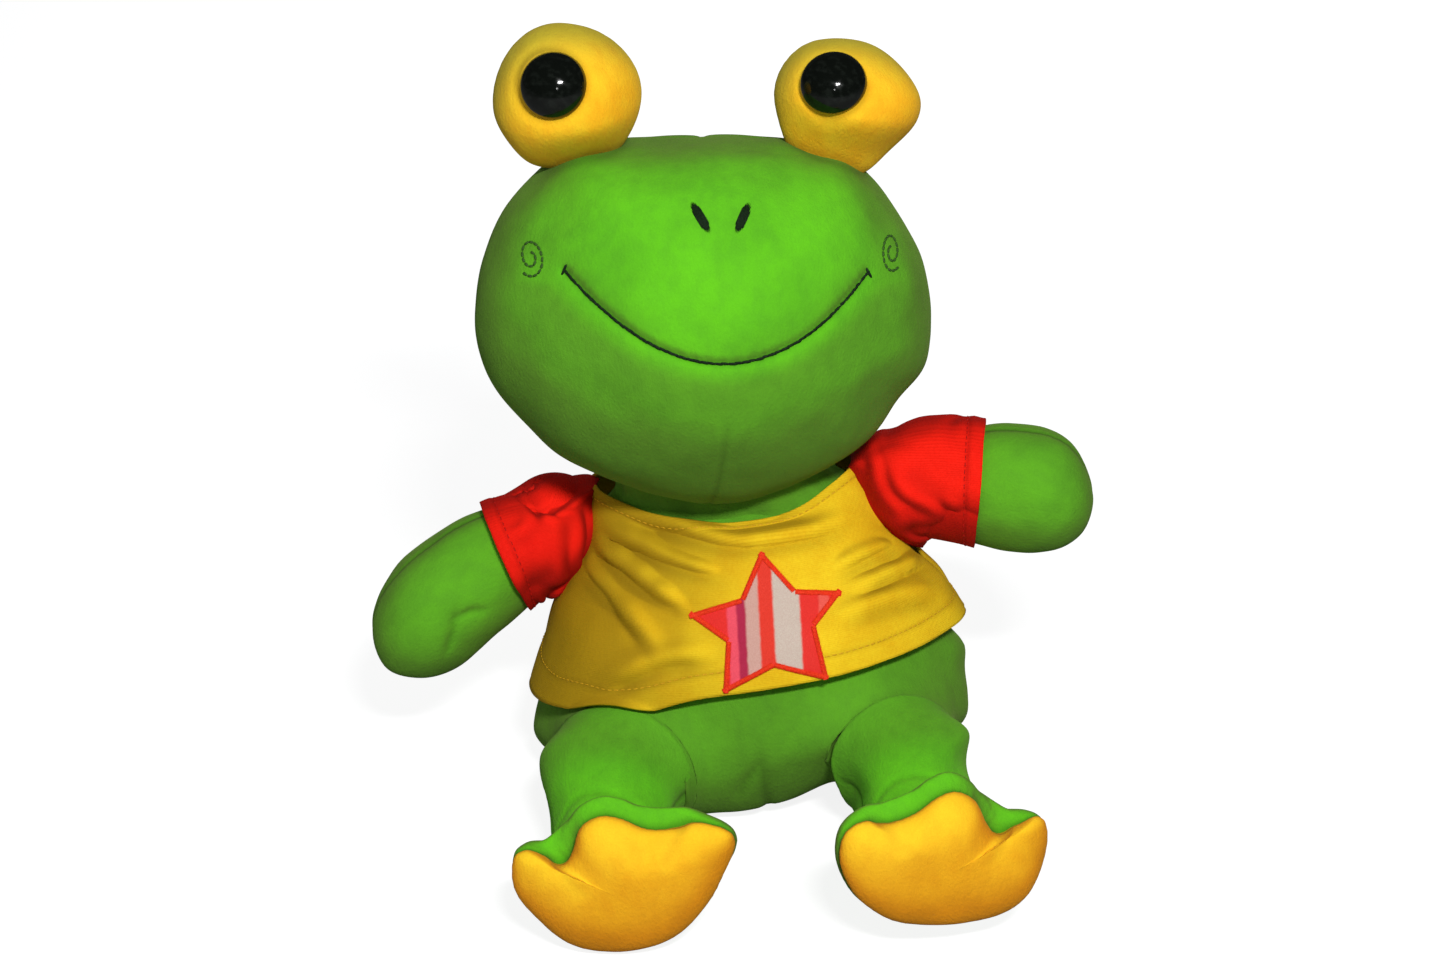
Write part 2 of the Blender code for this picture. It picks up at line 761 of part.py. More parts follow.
def build_star(builder, torso, pivot):
    """The badge and the stitched border round it, laid on the shirt front."""
    inner_radius = STAR_RADIUS - BORDER_WIDTH * 2

    def lay(spot, lift):
        def place(turn, share):
            return shirt_point(torso, turn, share, JERSEY_THICKNESS)

        target = (STAR_CENTRE[0] + spot.x, STAR_CENTRE[1] + spot.y * STAR_HEIGHT_SHARE)
        turn, share = solve_spot(place, TORSO_FRAME, target)
        return shirt_point(torso, turn, share, JERSEY_THICKNESS + lift)

    def badge(across, out, lift):
        return lay(star_outline(across, inner_radius - TRIM_GAP * 2) * out, lift)

    def border(across, out, lift):
        return lay(star_outline(across, mix(inner_radius, STAR_RADIUS, out)), lift)

    inner = STAR_LIFT
    shape = slab_shape(badge, BADGE_COUNTS, inner, inner + STAR_THICKNESS, wraps=True)
    builder.piece("star_badge", shape, BADGE, pivot)
    shape = slab_shape(border, BORDER_COUNTS, inner, inner + BORDER_THICKNESS, wraps=True)
    builder.piece("star_border", shape, BORDER, pivot)


def build_torso(builder, pivot, neck_centre, limb_cutters, shoulders):
    """The torso with the shirt on it."""
    torso = torso_form()
    cutters = [(neck_centre, NECK_RADIUS + BALL_GAP, NECK_COUNTS)] + limb_cutters
    inset = PLUSH_THICKNESS
    forms = (torso, torso_form(inset), torso_form(inset + STUFFING_GAP * 2))
    counts = (TORSO_COUNTS, TORSO_INNER_COUNTS)
    skin, _ = stuffed(builder, "torso", forms, pivot, GREEN, counts, cutters)
    cut_flat(skin)
    for name, start in (("shirt_front", 0.5), ("shirt_back", 0.0)):
        shape = slab_shape(panel_surface(torso, start), PANEL_COUNTS, 0.0, JERSEY_THICKNESS)
        panel = builder.piece(name, shape, JERSEY, pivot)
        carve(panel, ball_shape(neck_centre, NECK_RADIUS + BALL_GAP, NECK_COUNTS, around=True))
        for side_name in SIDES:
            centre = shoulders[side_name].translation
            carve(panel, ball_shape(centre, ARM_ROOT_RADIUS + BALL_GAP, around=True))
    build_star(builder, torso, pivot)
    return torso


def build_stitches(builder, head, skin, frame, pivot):
    """The embroidered mouth, nostrils and cheek swirls."""

    def strip(name, path, width, tapers=False):
        spots = [solve_spot(head.place, frame, spot) for spot in path]
        lift = TRIM_GAP * 2 + THREAD_HALF_HEIGHT
        normals = [head.outward(*spot) for spot in spots]
        points = [seated(skin, head.place(*spot), out, lift) for spot, out in zip(spots, normals)]
        widths = [width] * len(points)
        if tapers:
            for index in range(len(points)):
                share = mix(NOSTRIL_END_SHARE, 1 - NOSTRIL_END_SHARE, index / (len(points) - 1))
                widths[index] = width * math.sin(math.pi * share)
        shape = strip_shape(points, normals, widths, THREAD_HALF_HEIGHT, THREAD_SIDES)
        builder.piece(name, shape, THREAD, pivot)

    path = []
    for index in range(MOUTH_STEPS + 1):
        across = mix(-1, 1, index / MOUTH_STEPS)
        height = MOUTH_END_HEIGHT - MOUTH_DROP * (1 - across * across)
        path.append((MOUTH_HALF_WIDTH * across - MOUTH_SHIFT, height))
    strip("mouth_stitching", path, THREAD_HALF_WIDTH)
    for name, side in SIDES.items():
        path = []
        for index in range(NOSTRIL_STEPS + 1):
            share = index / NOSTRIL_STEPS
            across = side * mix(NOSTRIL_TOP[0], NOSTRIL_END[0], share)
            path.append((across - MOUTH_SHIFT, mix(NOSTRIL_TOP[1], NOSTRIL_END[1], share)))
        strip("nostril_" + name, path, NOSTRIL_HALF_WIDTH, tapers=True)
        path = []
        for index in range(SWIRL_STEPS + 1):
            share = index / SWIRL_STEPS
            angle = math.tau * (SWIRL_TURNS_SHARE * share + 0.25)
            reach = SWIRL_RADIUS * mix(SWIRL_INNER_SHARE, 1.0, share)
            across = SWIRL_CENTRE[0] + reach * math.cos(angle) * SWIRL_WIDTH_SHARE
            height = SWIRL_CENTRE[1] + reach * math.sin(angle) * SWIRL_HEIGHT_SHARE
            path.append((side * across, height))
        strip("cheek_swirl_" + name, path, SWIRL_THREAD_HALF_WIDTH)


def bulb_form(frame, middle):
    """An eye bulb along +Z of its frame, narrow at its root and round about its middle."""
    start = BULB_ROOT_SHARE
    end = BULB_ROOT_SHARE + BULB_FLARE_SHARE

    def place(turn, rise):
        angle = math.tau * turn
        if rise < start:
            polar = math.pi / 2 * rise / start
            along = -BULB_ROOT_RADIUS * math.cos(polar)
            radius = BULB_ROOT_RADIUS * math.sin(polar)
        elif rise < end:
            share = (rise - start) / BULB_FLARE_SHARE
            along = middle * share
            radius = mix(BULB_ROOT_RADIUS, BULB_RADIUS, math.sin(share * math.pi / 2))
        else:
            polar = math.pi / 2 * (rise - end) / (1 - end)
            along = middle + BULB_RADIUS * math.sin(polar)
            radius = BULB_RADIUS * math.cos(polar)
        return frame @ Vector((radius * math.cos(angle), radius * math.sin(angle), along))

    return Form(place)


def post_profile(end, start):
    """The outline of a ridged post from its inner end to its root in the dome."""
    profile = [(0, end), (POST_RADIUS, end)]
    for ridge in range(POST_RIDGE_COUNT):
        height = end + POST_LENGTH * POST_RIDGE_SPACING_SHARE * (ridge + 0.5)
        profile.append((POST_RADIUS, height))
        profile.append((POST_RADIUS + POST_RIDGE, height + POST_RIDGE * 2))
        profile.append((POST_RADIUS, height + POST_RIDGE * 3))
    return profile + [(POST_RADIUS, start), (0, start)]


def dome_profile(edge, top):
    """The outline of a domed eye, with more behind it than shows."""
    behind = edge - PLUSH_THICKNESS
    rim = edge + PLUSH_THICKNESS / 2
    profile = [(0, behind), (EYE_RADIUS, behind)]
    for step in range(EYE_DOME_STEPS):
        angle = math.pi / 2 * step / EYE_DOME_STEPS
        profile.append((EYE_RADIUS * math.cos(angle), mix(rim, top, math.sin(angle))))
    return profile + [(0, top)]


def build_bulb(builder, name, frame, parent):
    """An eye bulb with its safety eye: the dome outside, the post through the skin, the washer inside."""
    pivot = builder.pivot("eye_pivot_" + name, frame, parent)
    middle = BULB_LENGTH[name] - BULB_RADIUS
    form = bulb_form(frame, middle)
    counts = (LIMB_COUNTS, BULB_INNER_COUNTS)
    skin, filling = stuffed(builder, "eye_bulb_" + name, layers(form), pivot, YELLOW, counts)
    open_root(skin, frame, BULB_ROOT_RADIUS)
    facing = turned(EYE_TURN_DEG[name], "Z") @ turned(90 - EYE_RISE_DEG[name], "X")
    eye = frame @ Matrix.Translation((0, 0, middle)) @ facing
    edge = BULB_RADIUS - EYE_RADIUS**2 / (2 * BULB_RADIUS) - PLUSH_THICKNESS / 2
    top = BULB_RADIUS + EYE_DOME_HEIGHT
    end = BULB_RADIUS - POST_LENGTH
    shape = lathe_shape(eye, dome_profile(edge, top), DOME_COLUMNS)
    dome = builder.piece("safety_eye_" + name, shape, BLACK, pivot)
    carve(dome, closed_shape(form, *LIMB_COUNTS, TRIM_GAP))
    start = BULB_RADIUS + EYE_DOME_HEIGHT * EYE_POST_RISE_SHARE
    carve(dome, lathe_shape(eye, post_profile(end, start), POST_COLUMNS), "UNION")

    bore = POST_RADIUS + POST_RIDGE + TRIM_GAP
    inner = end - CUT_OVERRUN
    carve(skin, lathe_shape(eye, [(0, inner), (bore, inner), (bore, top), (0, top)], BORE_COLUMNS))
    seat = BULB_RADIUS - WASHER_DEPTH
    recess = seat - WASHER_THICKNESS - TRIM_GAP
    pocket = WASHER_RADIUS + TRIM_GAP
    inner = end - TRIM_GAP
    hole = [(0, inner), (bore, inner), (bore, recess), (pocket, recess), (pocket, top), (0, top)]
    carve(filling, lathe_shape(eye, hole, WASHER_COLUMNS))
    under = seat - WASHER_THICKNESS
    ring = [(bore, under), (WASHER_RADIUS, under), (WASHER_RADIUS, seat), (bore, seat), (bore, under)]
    washer = lathe_shape(eye, ring, WASHER_COLUMNS)
    bmesh.ops.remove_doubles(washer, verts=washer.verts, dist=STEP_SHARE * PLUSH_THICKNESS)
    builder.piece("eye_washer_" + name, washer, WASHER, pivot)


def solve_top(head, frame, target):
    """The point just off the top of the head, above a place given from its middle."""
    inverse = frame.inverted()
    best = (math.inf, 0.0, 0.0)
    for turn_step in range(TOP_SEARCH_COUNT):
        for rise_step in range(1, TOP_SEARCH_COUNT // 2):
            turn, rise = turn_step / TOP_SEARCH_COUNT, 0.5 + rise_step / TOP_SEARCH_COUNT
            spot = inverse @ head.place(turn, rise)
            miss = math.hypot(spot.x - target[0], spot.y - target[1])
            best = min(best, (miss, turn, rise))
    return head.point(best[1], best[2], BULB_STANDOFF)


def shoulder_frames(torso):
    """The frames of the arms, each just off the torso's side."""
    frames = {}
    for name, side in SIDES.items():
        spot = torso.point(0.0 if side > 0 else 0.5, round_rise(SHOULDER_RISE[name]), SHOULDER_STANDOFF)
        frame = Matrix.Translation(spot) @ turned(-side * ARM_FORWARD_DEG[name], "Z")
        frames[name] = frame @ turned(side * (90 + ARM_DROOP_DEG[name]), "Y")
    return frames


def hip_frames():
    """The frames of the legs, at the front of the seat."""
    frames = {}
    for name, side in SIDES.items():
        spot = Vector((side * HIP_SIDE, -HIP_FORWARD, HIP_HEIGHT[name]))
        frame = Matrix.Translation(spot) @ turned(side * LEG_SPLAY_DEG[name], "Z")
        frames[name] = frame @ turned(90 - LEG_RAISE_DEG[name], "X")
    return frames


def build_leg(builder, name, frame, root):
    """A leg and its foot."""
    side = SIDES[name]
    hip = builder.pivot("hip_pivot_" + name, frame, root)
    sizes = (LEG_ROOT_RADIUS, LEG_ANKLE_RADIUS, LEG_LENGTH + LEG_ANKLE_RADIUS)
    build_limb(builder, "leg_" + name, frame, hip, sizes, GREEN)
    ankle_spot = frame @ Vector((0, 0, LEG_LENGTH))
    turn = turned(side * FOOT_SPLAY_DEG[name], "Z") @ turned(-FOOT_BACK_DEG[name], "X")
    ankle = builder.pivot("ankle_pivot_" + name, Matrix.Translation(ankle_spot) @ turn, hip)
    reach = Vector((FOOT_SHIFT[name], -FOOT_UPPER_BULGE - ANKLE_STANDOFF, 0))
    foot_frame = Matrix.Translation(ankle_spot) @ turn @ Matrix.Translation(reach)
    foot_frame = foot_frame @ turned(FOOT_ROLL_DEG[name], "Y")
    half_gap = SEAM_GAP / 2 / (math.pi * FOOT_SOLE_BULGE)

    def sole(across, share, lift):
        return foot_form(foot_frame, side, -lift).place(across, mix(0.0, 0.5 - half_gap, share))

    def upper(across, share, lift):
        return foot_form(foot_frame, side, -lift).place(across, mix(1.0, 0.5 + half_gap, share))

    shape = slab_shape(sole, (FOOT_COUNTS[0], FOOT_COUNTS[1] // 2), -PLUSH_THICKNESS, 0.0, wraps=True)
    builder.piece("foot_sole_" + name, shape, YELLOW, ankle)
    shape = slab_shape(upper, (FOOT_COUNTS[0], FOOT_COUNTS[1] // 2), -PLUSH_THICKNESS, 0.0, wraps=True)
    skin = builder.piece("foot_upper_" + name, shape, GREEN, ankle)
    core = foot_form(foot_frame, side, PLUSH_THICKNESS + STUFFING_GAP * 3)
    shape = closed_shape(core, *FOOT_COUNTS)
    filling = builder.piece("foot_stuffing_" + name, shape, STUFFING, ankle)
    for thing in (skin, filling):
        carve(thing, ball_shape(ankle_spot, LEG_ANKLE_RADIUS + BALL_GAP, around=True))


def main():
    """Build the frog and print its pivots."""
    builder = Builder()
    torso = torso_form()
    root = builder.pivot("frog", Matrix.Identity(4))
    top = torso.place(0, 1)
    neck_spot = top + TORSO_FRAME.to_3x3().col[2] * NECK_STANDOFF
    neck_frame = Matrix.Translation(neck_spot) @ TORSO_FRAME
    head_turn = turned(HEAD_TURN_DEG, "Z") @ turned(-HEAD_BACK_DEG, "X") @ turned(HEAD_ROLL_DEG, "Y")
    drop = math.sqrt(1 - (HEAD_FORWARD / HEAD_HALF_DEPTH) ** 2 - (HEAD_SHIFT / HEAD_HALF_WIDTH) ** 2)
    centre = neck_spot + Vector((-HEAD_SHIFT, -HEAD_FORWARD, NECK_STANDOFF + HEAD_BELOW * drop))
    head_frame = Matrix.Translation(centre) @ head_turn
    head = head_form(head_frame)

    shoulders = shoulder_frames(torso)
    hips = hip_frames()
    cutters = []
    for name in SIDES:
        cutters.append((shoulders[name].translation, ARM_ROOT_RADIUS + BALL_GAP, BALL_COUNTS))
        cutters.append((hips[name].translation, LEG_ROOT_RADIUS + BALL_GAP, BALL_COUNTS))
    build_torso(builder, root, neck_spot, cutters, shoulders)

    neck = builder.pivot("neck_pivot", neck_frame, root)
    builder.piece("neck_ball", ball_shape(neck_spot, NECK_RADIUS, NECK_COUNTS), GREEN, neck)
    nod = builder.pivot("head_pivot", Matrix.Translation(neck_spot) @ head_turn, neck)
    bulbs = {}
    for name, side in SIDES.items():
        spot = solve_top(head, head_frame, (side * BULB_SIDE + BULB_SHIFT[name], -BULB_FORWARD))
        frame = Matrix.Translation(spot) @ head_turn
        bulbs[name] = frame @ turned(side * BULB_SPLAY_DEG, "Y") @ turned(-BULB_BACK_DEG[name], "X")
    cutters = [(neck_spot, NECK_RADIUS + BALL_GAP, NECK_COUNTS)]
    for name in SIDES:
        cutters.append((bulbs[name].translation, BULB_ROOT_RADIUS + BALL_GAP, BALL_COUNTS))
    counts = (HEAD_COUNTS, HEAD_INNER_COUNTS)
    skin, _ = stuffed(builder, "head", layers(head), nod, GREEN, counts, cutters)
    build_stitches(builder, head, skin, head_frame, nod)

    for name, side in SIDES.items():
        build_bulb(builder, name, bulbs[name], nod)
        shoulder = builder.pivot("shoulder_pivot_" + name, shoulders[name], root)
        sizes = (ARM_ROOT_RADIUS, ARM_HAND_RADIUS, ARM_LENGTH[name])
        build_limb(builder, "arm_" + name, shoulders[name], shoulder, sizes, GREEN)
        shape = sleeve_shape(torso, shoulders[name], name, JERSEY_THICKNESS / 2)
        builder.piece("sleeve_" + name, shape, RED, shoulder)
        build_leg(builder, name, hips[name], root)

    for thing in bpy.data.objects:
        if thing.type == "EMPTY":
            spot = thing.matrix_world.translation
            print(thing.name, [round(value, 5) for value in spot])


if __name__ == "__main__":
    main()
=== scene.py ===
"""The looks of a stuffed plush frog in a T-shirt, dressed over its packed construction model.

Metres, +Z up. The frog faces -Y, and +X is its own left side. Every soft piece is shaped in world
coordinates round the pivots of the construction model, and gets a sewn, napped or knitted finish.
"""

from __future__ import annotations

import json
import logging
import math
from dataclasses import dataclass, field
from enum import Enum
from typing import Callable, Iterable, Sequence

import bpy
import numpy as np
from mathutils import Matrix, Vector, noise
from mathutils.bvhtree import BVHTree
from mathutils.kdtree import KDTree


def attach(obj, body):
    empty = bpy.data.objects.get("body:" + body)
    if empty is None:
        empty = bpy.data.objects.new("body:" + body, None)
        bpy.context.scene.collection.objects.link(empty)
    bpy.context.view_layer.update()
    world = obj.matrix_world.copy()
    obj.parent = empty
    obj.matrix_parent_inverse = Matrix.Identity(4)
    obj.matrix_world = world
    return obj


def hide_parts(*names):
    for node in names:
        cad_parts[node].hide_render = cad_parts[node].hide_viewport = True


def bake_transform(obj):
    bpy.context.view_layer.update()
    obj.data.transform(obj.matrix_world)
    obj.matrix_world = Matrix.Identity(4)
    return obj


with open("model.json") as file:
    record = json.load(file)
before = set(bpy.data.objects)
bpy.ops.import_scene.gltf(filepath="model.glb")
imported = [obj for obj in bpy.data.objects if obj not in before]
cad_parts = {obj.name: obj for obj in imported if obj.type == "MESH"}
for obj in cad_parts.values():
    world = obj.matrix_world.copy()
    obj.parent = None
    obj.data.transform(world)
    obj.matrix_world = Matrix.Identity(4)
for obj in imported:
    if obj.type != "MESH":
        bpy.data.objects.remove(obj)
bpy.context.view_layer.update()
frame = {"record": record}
LOG = logging.getLogger("plush_frog")

Points = np.ndarray
Pair = tuple[float, float]
Triple = tuple[float, float, float]
Colour = Triple
Form = Callable[[np.ndarray], np.ndarray]
Material = bpy.types.Material
Socket = bpy.types.NodeSocket
StandOff = Callable[[np.ndarray], tuple[np.ndarray, np.ndarray]]
SIDES = {"left": 1, "right": -1}


class Slot(str, Enum):
    """The record's finishes that pieces are made in."""

    GREEN_PLUSH = "green_plush"
    YELLOW_PLUSH = "yellow_plush"
    YELLOW_JERSEY = "yellow_jersey"
    RED_JERSEY = "red_jersey"
    THREAD = "thread"
    BLACK_PLASTIC = "black_plastic"
    BADGE_PRINT = "badge_print"
    BADGE_BORDER = "badge_border"


def by_side(left: object, right: object) -> dict[str, object]:
    """A dataclass field with a value for each side of the frog."""
    return field(default_factory=lambda: {"left": left, "right": right})


# Small mathematics


def ease(share: Points | float) -> Points:
    """A smooth step from 0 to 1."""
    share = np.clip(share, 0.0, 1.0)
    return share * share * (3 - 2 * share)


def mix(start: Points | float, end: Points | float, share: Points | float) -> Points:
    """A straight blend of two values."""
    return start + (end - start) * share


def power(value: Points, fullness: Points | float) -> Points:
    """A signed power that rounds a circle towards a box as the fullness grows past 2."""
    return np.copysign(np.abs(value) ** (2 / fullness), value)


def bell(distance: Points, width: float) -> Points:
    """A smooth bump, 1 at no distance and falling off over a width."""
    return np.exp(-((distance / width) ** 2))


def unit(vectors: Points) -> Points:
    """Vectors scaled to length 1."""
    return vectors / np.maximum(np.linalg.norm(vectors, axis=-1, keepdims=True), 1e-12)


def round_axis(directions: Points) -> tuple[Points, Points, Points]:
    """How far unit directions lean off the Z axis, and their unit parts across and in depth."""
    level = np.hypot(directions[:, 0], directions[:, 1])
    return level, directions[:, 0] / np.maximum(level, 1e-9), directions[:, 1] / np.maximum(level, 1e-9)


def reach_of(level: Points, height: Points, fullness: Points | float) -> Points:
    """How far a unit direction reaches on a form that is fuller than a ball past a fullness of 2."""
    return (level**fullness + np.abs(height) ** fullness) ** (-1 / fullness)


def turned(degrees: float, axis: str) -> Matrix:
    """A rotation matrix about one of the axes."""
    return Matrix.Rotation(math.radians(degrees), 4, axis)


def placed(place: Matrix, points: Points) -> Points:
    """Points moved from a frame into the world."""
    matrix = np.array(place)
    return points @ matrix[:3, :3].T + matrix[:3, 3]


def brought_back(place: Matrix, points: Points) -> Points:
    """World points seen from a frame."""
    return placed(place.inverted(), points)


def lumps(points: Points, size: float, seed: float) -> Points:
    """Smooth unevenness between -1 and 1.

    Args:
        points: Where it is read.
        size: How large its lumps are.
        seed: A shift that makes it differ from another.

    Returns:
        One value a point.
    """
    shift = Vector((seed * 7.31, seed * 3.17, seed * 5.77))
    return np.array([noise.noise(Vector(point) / size + shift) for point in points])


def sphere_grid(count: int) -> tuple[Points, Points]:
    """An even grid of quads over a sphere, without poles.

    Args:
        count: Quads along each of the 12 edges of the cube that it is made from.

    Returns:
        Unit directions and quads that face outwards.
    """
    steps = np.tan(np.linspace(-math.pi / 4, math.pi / 4, count + 1))
    across, up = np.meshgrid(steps, steps, indexing="ij")
    flat = np.stack([across.ravel(), up.ravel(), np.ones(across.size)], axis=1)
    points, quads = [], []
    order = np.arange(flat.shape[0]).reshape(count + 1, count + 1)
    cells = np.stack([order[:-1, :-1], order[1:, :-1], order[1:, 1:], order[:-1, 1:]], axis=-1)
    for axis in range(3):
        for sign in (1, -1):
            turned_face = np.roll(flat * (1, 1, sign), axis - 2, axis=1)
            face = cells.reshape(-1, 4)
            quads.append((face if sign > 0 else face[:, ::-1]) + len(points) * flat.shape[0])
            points.append(turned_face)
    every = np.concatenate(points)
    _, first, back = np.unique(np.round(every, 6), axis=0, return_index=True, return_inverse=True)
    return unit(every[first]), back.reshape(-1)[np.concatenate(quads)]


def band_grid(columns: int, rows: int, wraps: bool) -> tuple[Points, Points, Points]:
    """A flat grid with shares from 0 to 1 along both ways.

    Args:
        columns: Quads along the first way.
        rows: Quads along the second way.
        wraps: Whether the last column joins the first.

    Returns:
        The first shares, the second shares, and quads.
    """
    across = np.arange(columns if wraps else columns + 1) / columns
    up = np.arange(rows + 1) / rows
    first, second = np.meshgrid(across, up, indexing="ij")
    order = np.arange(first.size).reshape(first.shape)
    after = np.roll(order, -1, axis=0) if wraps else order[1:]
    before = order if wraps else order[:-1]
    cells = np.stack([before[:, :-1], after[:, :-1], after[:, 1:], before[:, 1:]], axis=-1)
    return first.ravel(), second.ravel(), cells.reshape(-1, 4)


def smooth_between(corners: Sequence[Points], share: Points) -> Points:
    """Points between the middle two of four corners, on a smooth curve, for shares of the way.

    Args:
        corners: The four corners.
        share: Shares of the way, from 0 to 1.

    Returns:
        The points.
    """
    before, start, end, after = corners
    return 0.5 * (
        2 * start
        + (end - before) * share
        + (2 * before - 5 * start + 4 * end - after) * share**2
        + (3 * start - before - 3 * end + after) * share**3
    )


def smooth_path(corners: Sequence[Sequence[float]], step: float) -> Points:
    """A smooth curve through corners, with evenly spaced points.

    Args:
        corners: The points that it passes.
        step: The distance between its points.

    Returns:
        The curve's points.
    """
    known = np.array(corners, dtype=float)
    padded = np.vstack([2 * known[0] - known[1], known, 2 * known[-1] - known[-2]])
    curve = []
    for index in range(len(known) - 1):
        share = np.linspace(0, 1, 24, endpoint=False)[:, None]
        curve.append(smooth_between(padded[index : index + 4], share))
    curve.append(known[-1:])
    return evened(np.vstack(curve), step)


def evened(path: Points, step: float) -> Points:
    """A path with its points spread evenly, about a step apart.

    Args:
        path: The path's points.
        step: The distance between the new ones.

    Returns:
        The new points.
    """
    lengths = np.concatenate([[0.0], np.cumsum(np.linalg.norm(np.diff(path, axis=0), axis=1))])
    count = max(int(round(lengths[-1] / step)), 1)
    spots = np.linspace(0, lengths[-1], count + 1)
    return np.stack([np.interp(spots, lengths, path[:, axis]) for axis in range(path.shape[1])], axis=1)


def line_distance(points: Points, path: Points) -> tuple[Points, Points, Points]:
    """How far points are from a path.

    Args:
        points: The points.
        path: The path's points.

    Returns:
        The distance, the share of the way along the path, and the path's nearest point.
    """
    best = np.full(len(points), np.inf)
    share = np.zeros(len(points))
    nearest = np.zeros_like(points)
    count = len(path) - 1
    for index in range(count):
        start, run = path[index], path[index + 1] - path[index]
        along = np.clip((points - start) @ run / max(run @ run, 1e-12), 0, 1)
        spot = start + along[:, None] * run
        gap = np.linalg.norm(points - spot, axis=1)
        closer = gap < best
        best[closer] = gap[closer]
        share[closer] = (index + along[closer]) / count
        nearest[closer] = spot[closer]
    return best, share, nearest


@dataclass(frozen=True)
class Photo:
    """The camera of the photograph: where it stands and how it frames the frog."""

    width: int = 1440
    height: int = 959
    distance: float = 1.3
    rise_deg: float = 25.0
    target: Triple = (-0.016, -0.020, 0.142)
    pixel: float = 0.000395
    sensor: float = 36.0

    def lens(self) -> float:
        """The focal length in millimetres."""
        return self.sensor * self.distance / (self.width * self.pixel)

    def spot(self) -> Vector:
        """Where the camera stands."""
        rise = math.radians(self.rise_deg)
        return Vector(self.target) + self.distance * Vector((0, -math.cos(rise), math.sin(rise)))

    def ray(self, across: float, down: float) -> Vector:
        """The direction in which the camera sees a pixel of the photograph.

        Args:
            across: Pixels from the left.
            down: Pixels from the top.

        Returns:
            A unit direction.
        """
        rise = math.radians(self.rise_deg)
        forward = Vector((0, math.cos(rise), -math.sin(rise)))
        upward = Vector((0, math.sin(rise), math.cos(rise)))
        right = (across - self.width / 2) * self.pixel
        up = (self.height / 2 - down) * self.pixel
        return (Vector((right, 0, 0)) + upward * up + forward * self.distance).normalized()

    def pixels(self, points: Points) -> Points:
        """Where points are seen in the photograph.

        Args:
            points: Points in the world.

        Returns:
            Pixels from the left and from the top for each point.
        """
        rise = math.radians(self.rise_deg)
        away = points - np.array(self.spot())
        depth = away @ np.array([0, math.cos(rise), -math.sin(rise)])
        up = away @ np.array([0, math.sin(rise), math.cos(rise)])
        scale = self.distance / (depth * self.pixel)
        return np.stack([self.width / 2 + away[:, 0] * scale, self.height / 2 - up * scale], axis=1)

    def step(self, across: float, down: float) -> Points:
        """The move in the world for a move in the photograph."""
        rise = math.radians(self.rise_deg)
        return np.array([across, -down * math.sin(rise), -down * math.cos(rise)]) * self.pixel


PHOTO = Photo()


@dataclass(frozen=True)
class Tug:
    """A place in the photograph where hands have pulled the stuffing or the cloth a little."""

    spot: Pair
    move: Pair
    reach: float


HIP_TUGS = (
    Tug((964, 720), (8, 0), 20),
    Tug((534, 744), (-6, 0), 20),
    Tug((960, 690), (5, 0), 42),
    Tug((958, 737), (4, 0), 24),
    Tug((976, 768), (-12, 0), 30),
    Tug((545, 735), (-10, 0), 38),
    Tug((543, 812), (6, 0), 28),
)


def tugged(points: Points, tugs: Sequence[Tug]) -> Points:
    """Points moved by tugs, each fading out round its spot.

    Args:
        points: Points in the world.
        tugs: The tugs.

    Returns:
        The moved points.
    """
    seen = PHOTO.pixels(points)
    total = np.zeros_like(points)
    for tug in tugs:
        fade = bell(np.linalg.norm(seen - np.array(tug.spot), axis=1), tug.reach)
        total += fade[:, None] * PHOTO.step(*tug.move)
    return points + total


class Skin:
    """A surface that things are laid on or kept off."""

    def __init__(self, points: Points, faces: Points) -> None:
        """Keep a search tree of a mesh.

        Args:
            points: Its points.
            faces: Its faces.
        """
        self.tree = BVHTree.FromPolygons(points.tolist(), faces.tolist())

    def seen(self, across: float, down: float) -> tuple[Vector, Vector]:
        """The surface point and its normal under a pixel of the photograph.

        Args:
            across: Pixels from the left.
            down: Pixels from the top.

        Returns:
            The point and the normal.
        """
        origin = PHOTO.spot()
        ray = PHOTO.ray(across, down)
        spot, normal, _, _ = self.tree.ray_cast(origin, ray)
        if spot is None:
            spot, normal, _, _ = self.tree.find_nearest(origin + ray * PHOTO.distance)
        return spot, normal

    def along(self, origin: Vector, ray: Vector) -> tuple[Vector, Vector]:
        """The first surface point on a ray, and its normal.

        Args:
            origin: Where the ray starts.
            ray: Its direction.

        Returns:
            The point and the normal.
        """
        spot, normal, _, _ = self.tree.ray_cast(origin, ray)
        if spot is None:
            spot, normal, _, _ = self.tree.find_nearest(origin)
        return spot, normal

    def clearance(self, points: Points) -> tuple[Points, Points]:
        """How far points stand off the surface, below zero inside, and the way out of it.

        Args:
            points: Points in the world.

        Returns:
            The distances, below zero inside, and the unit ways out.
        """
        gaps = np.zeros(len(points))
        ways = np.zeros_like(points)
        for index, point in enumerate(points):
            place = Vector(point)
            spot, normal, _, _ = self.tree.find_nearest(place)
            gaps[index] = (place - spot).dot(normal)
            ways[index] = normal
        return gaps, ways


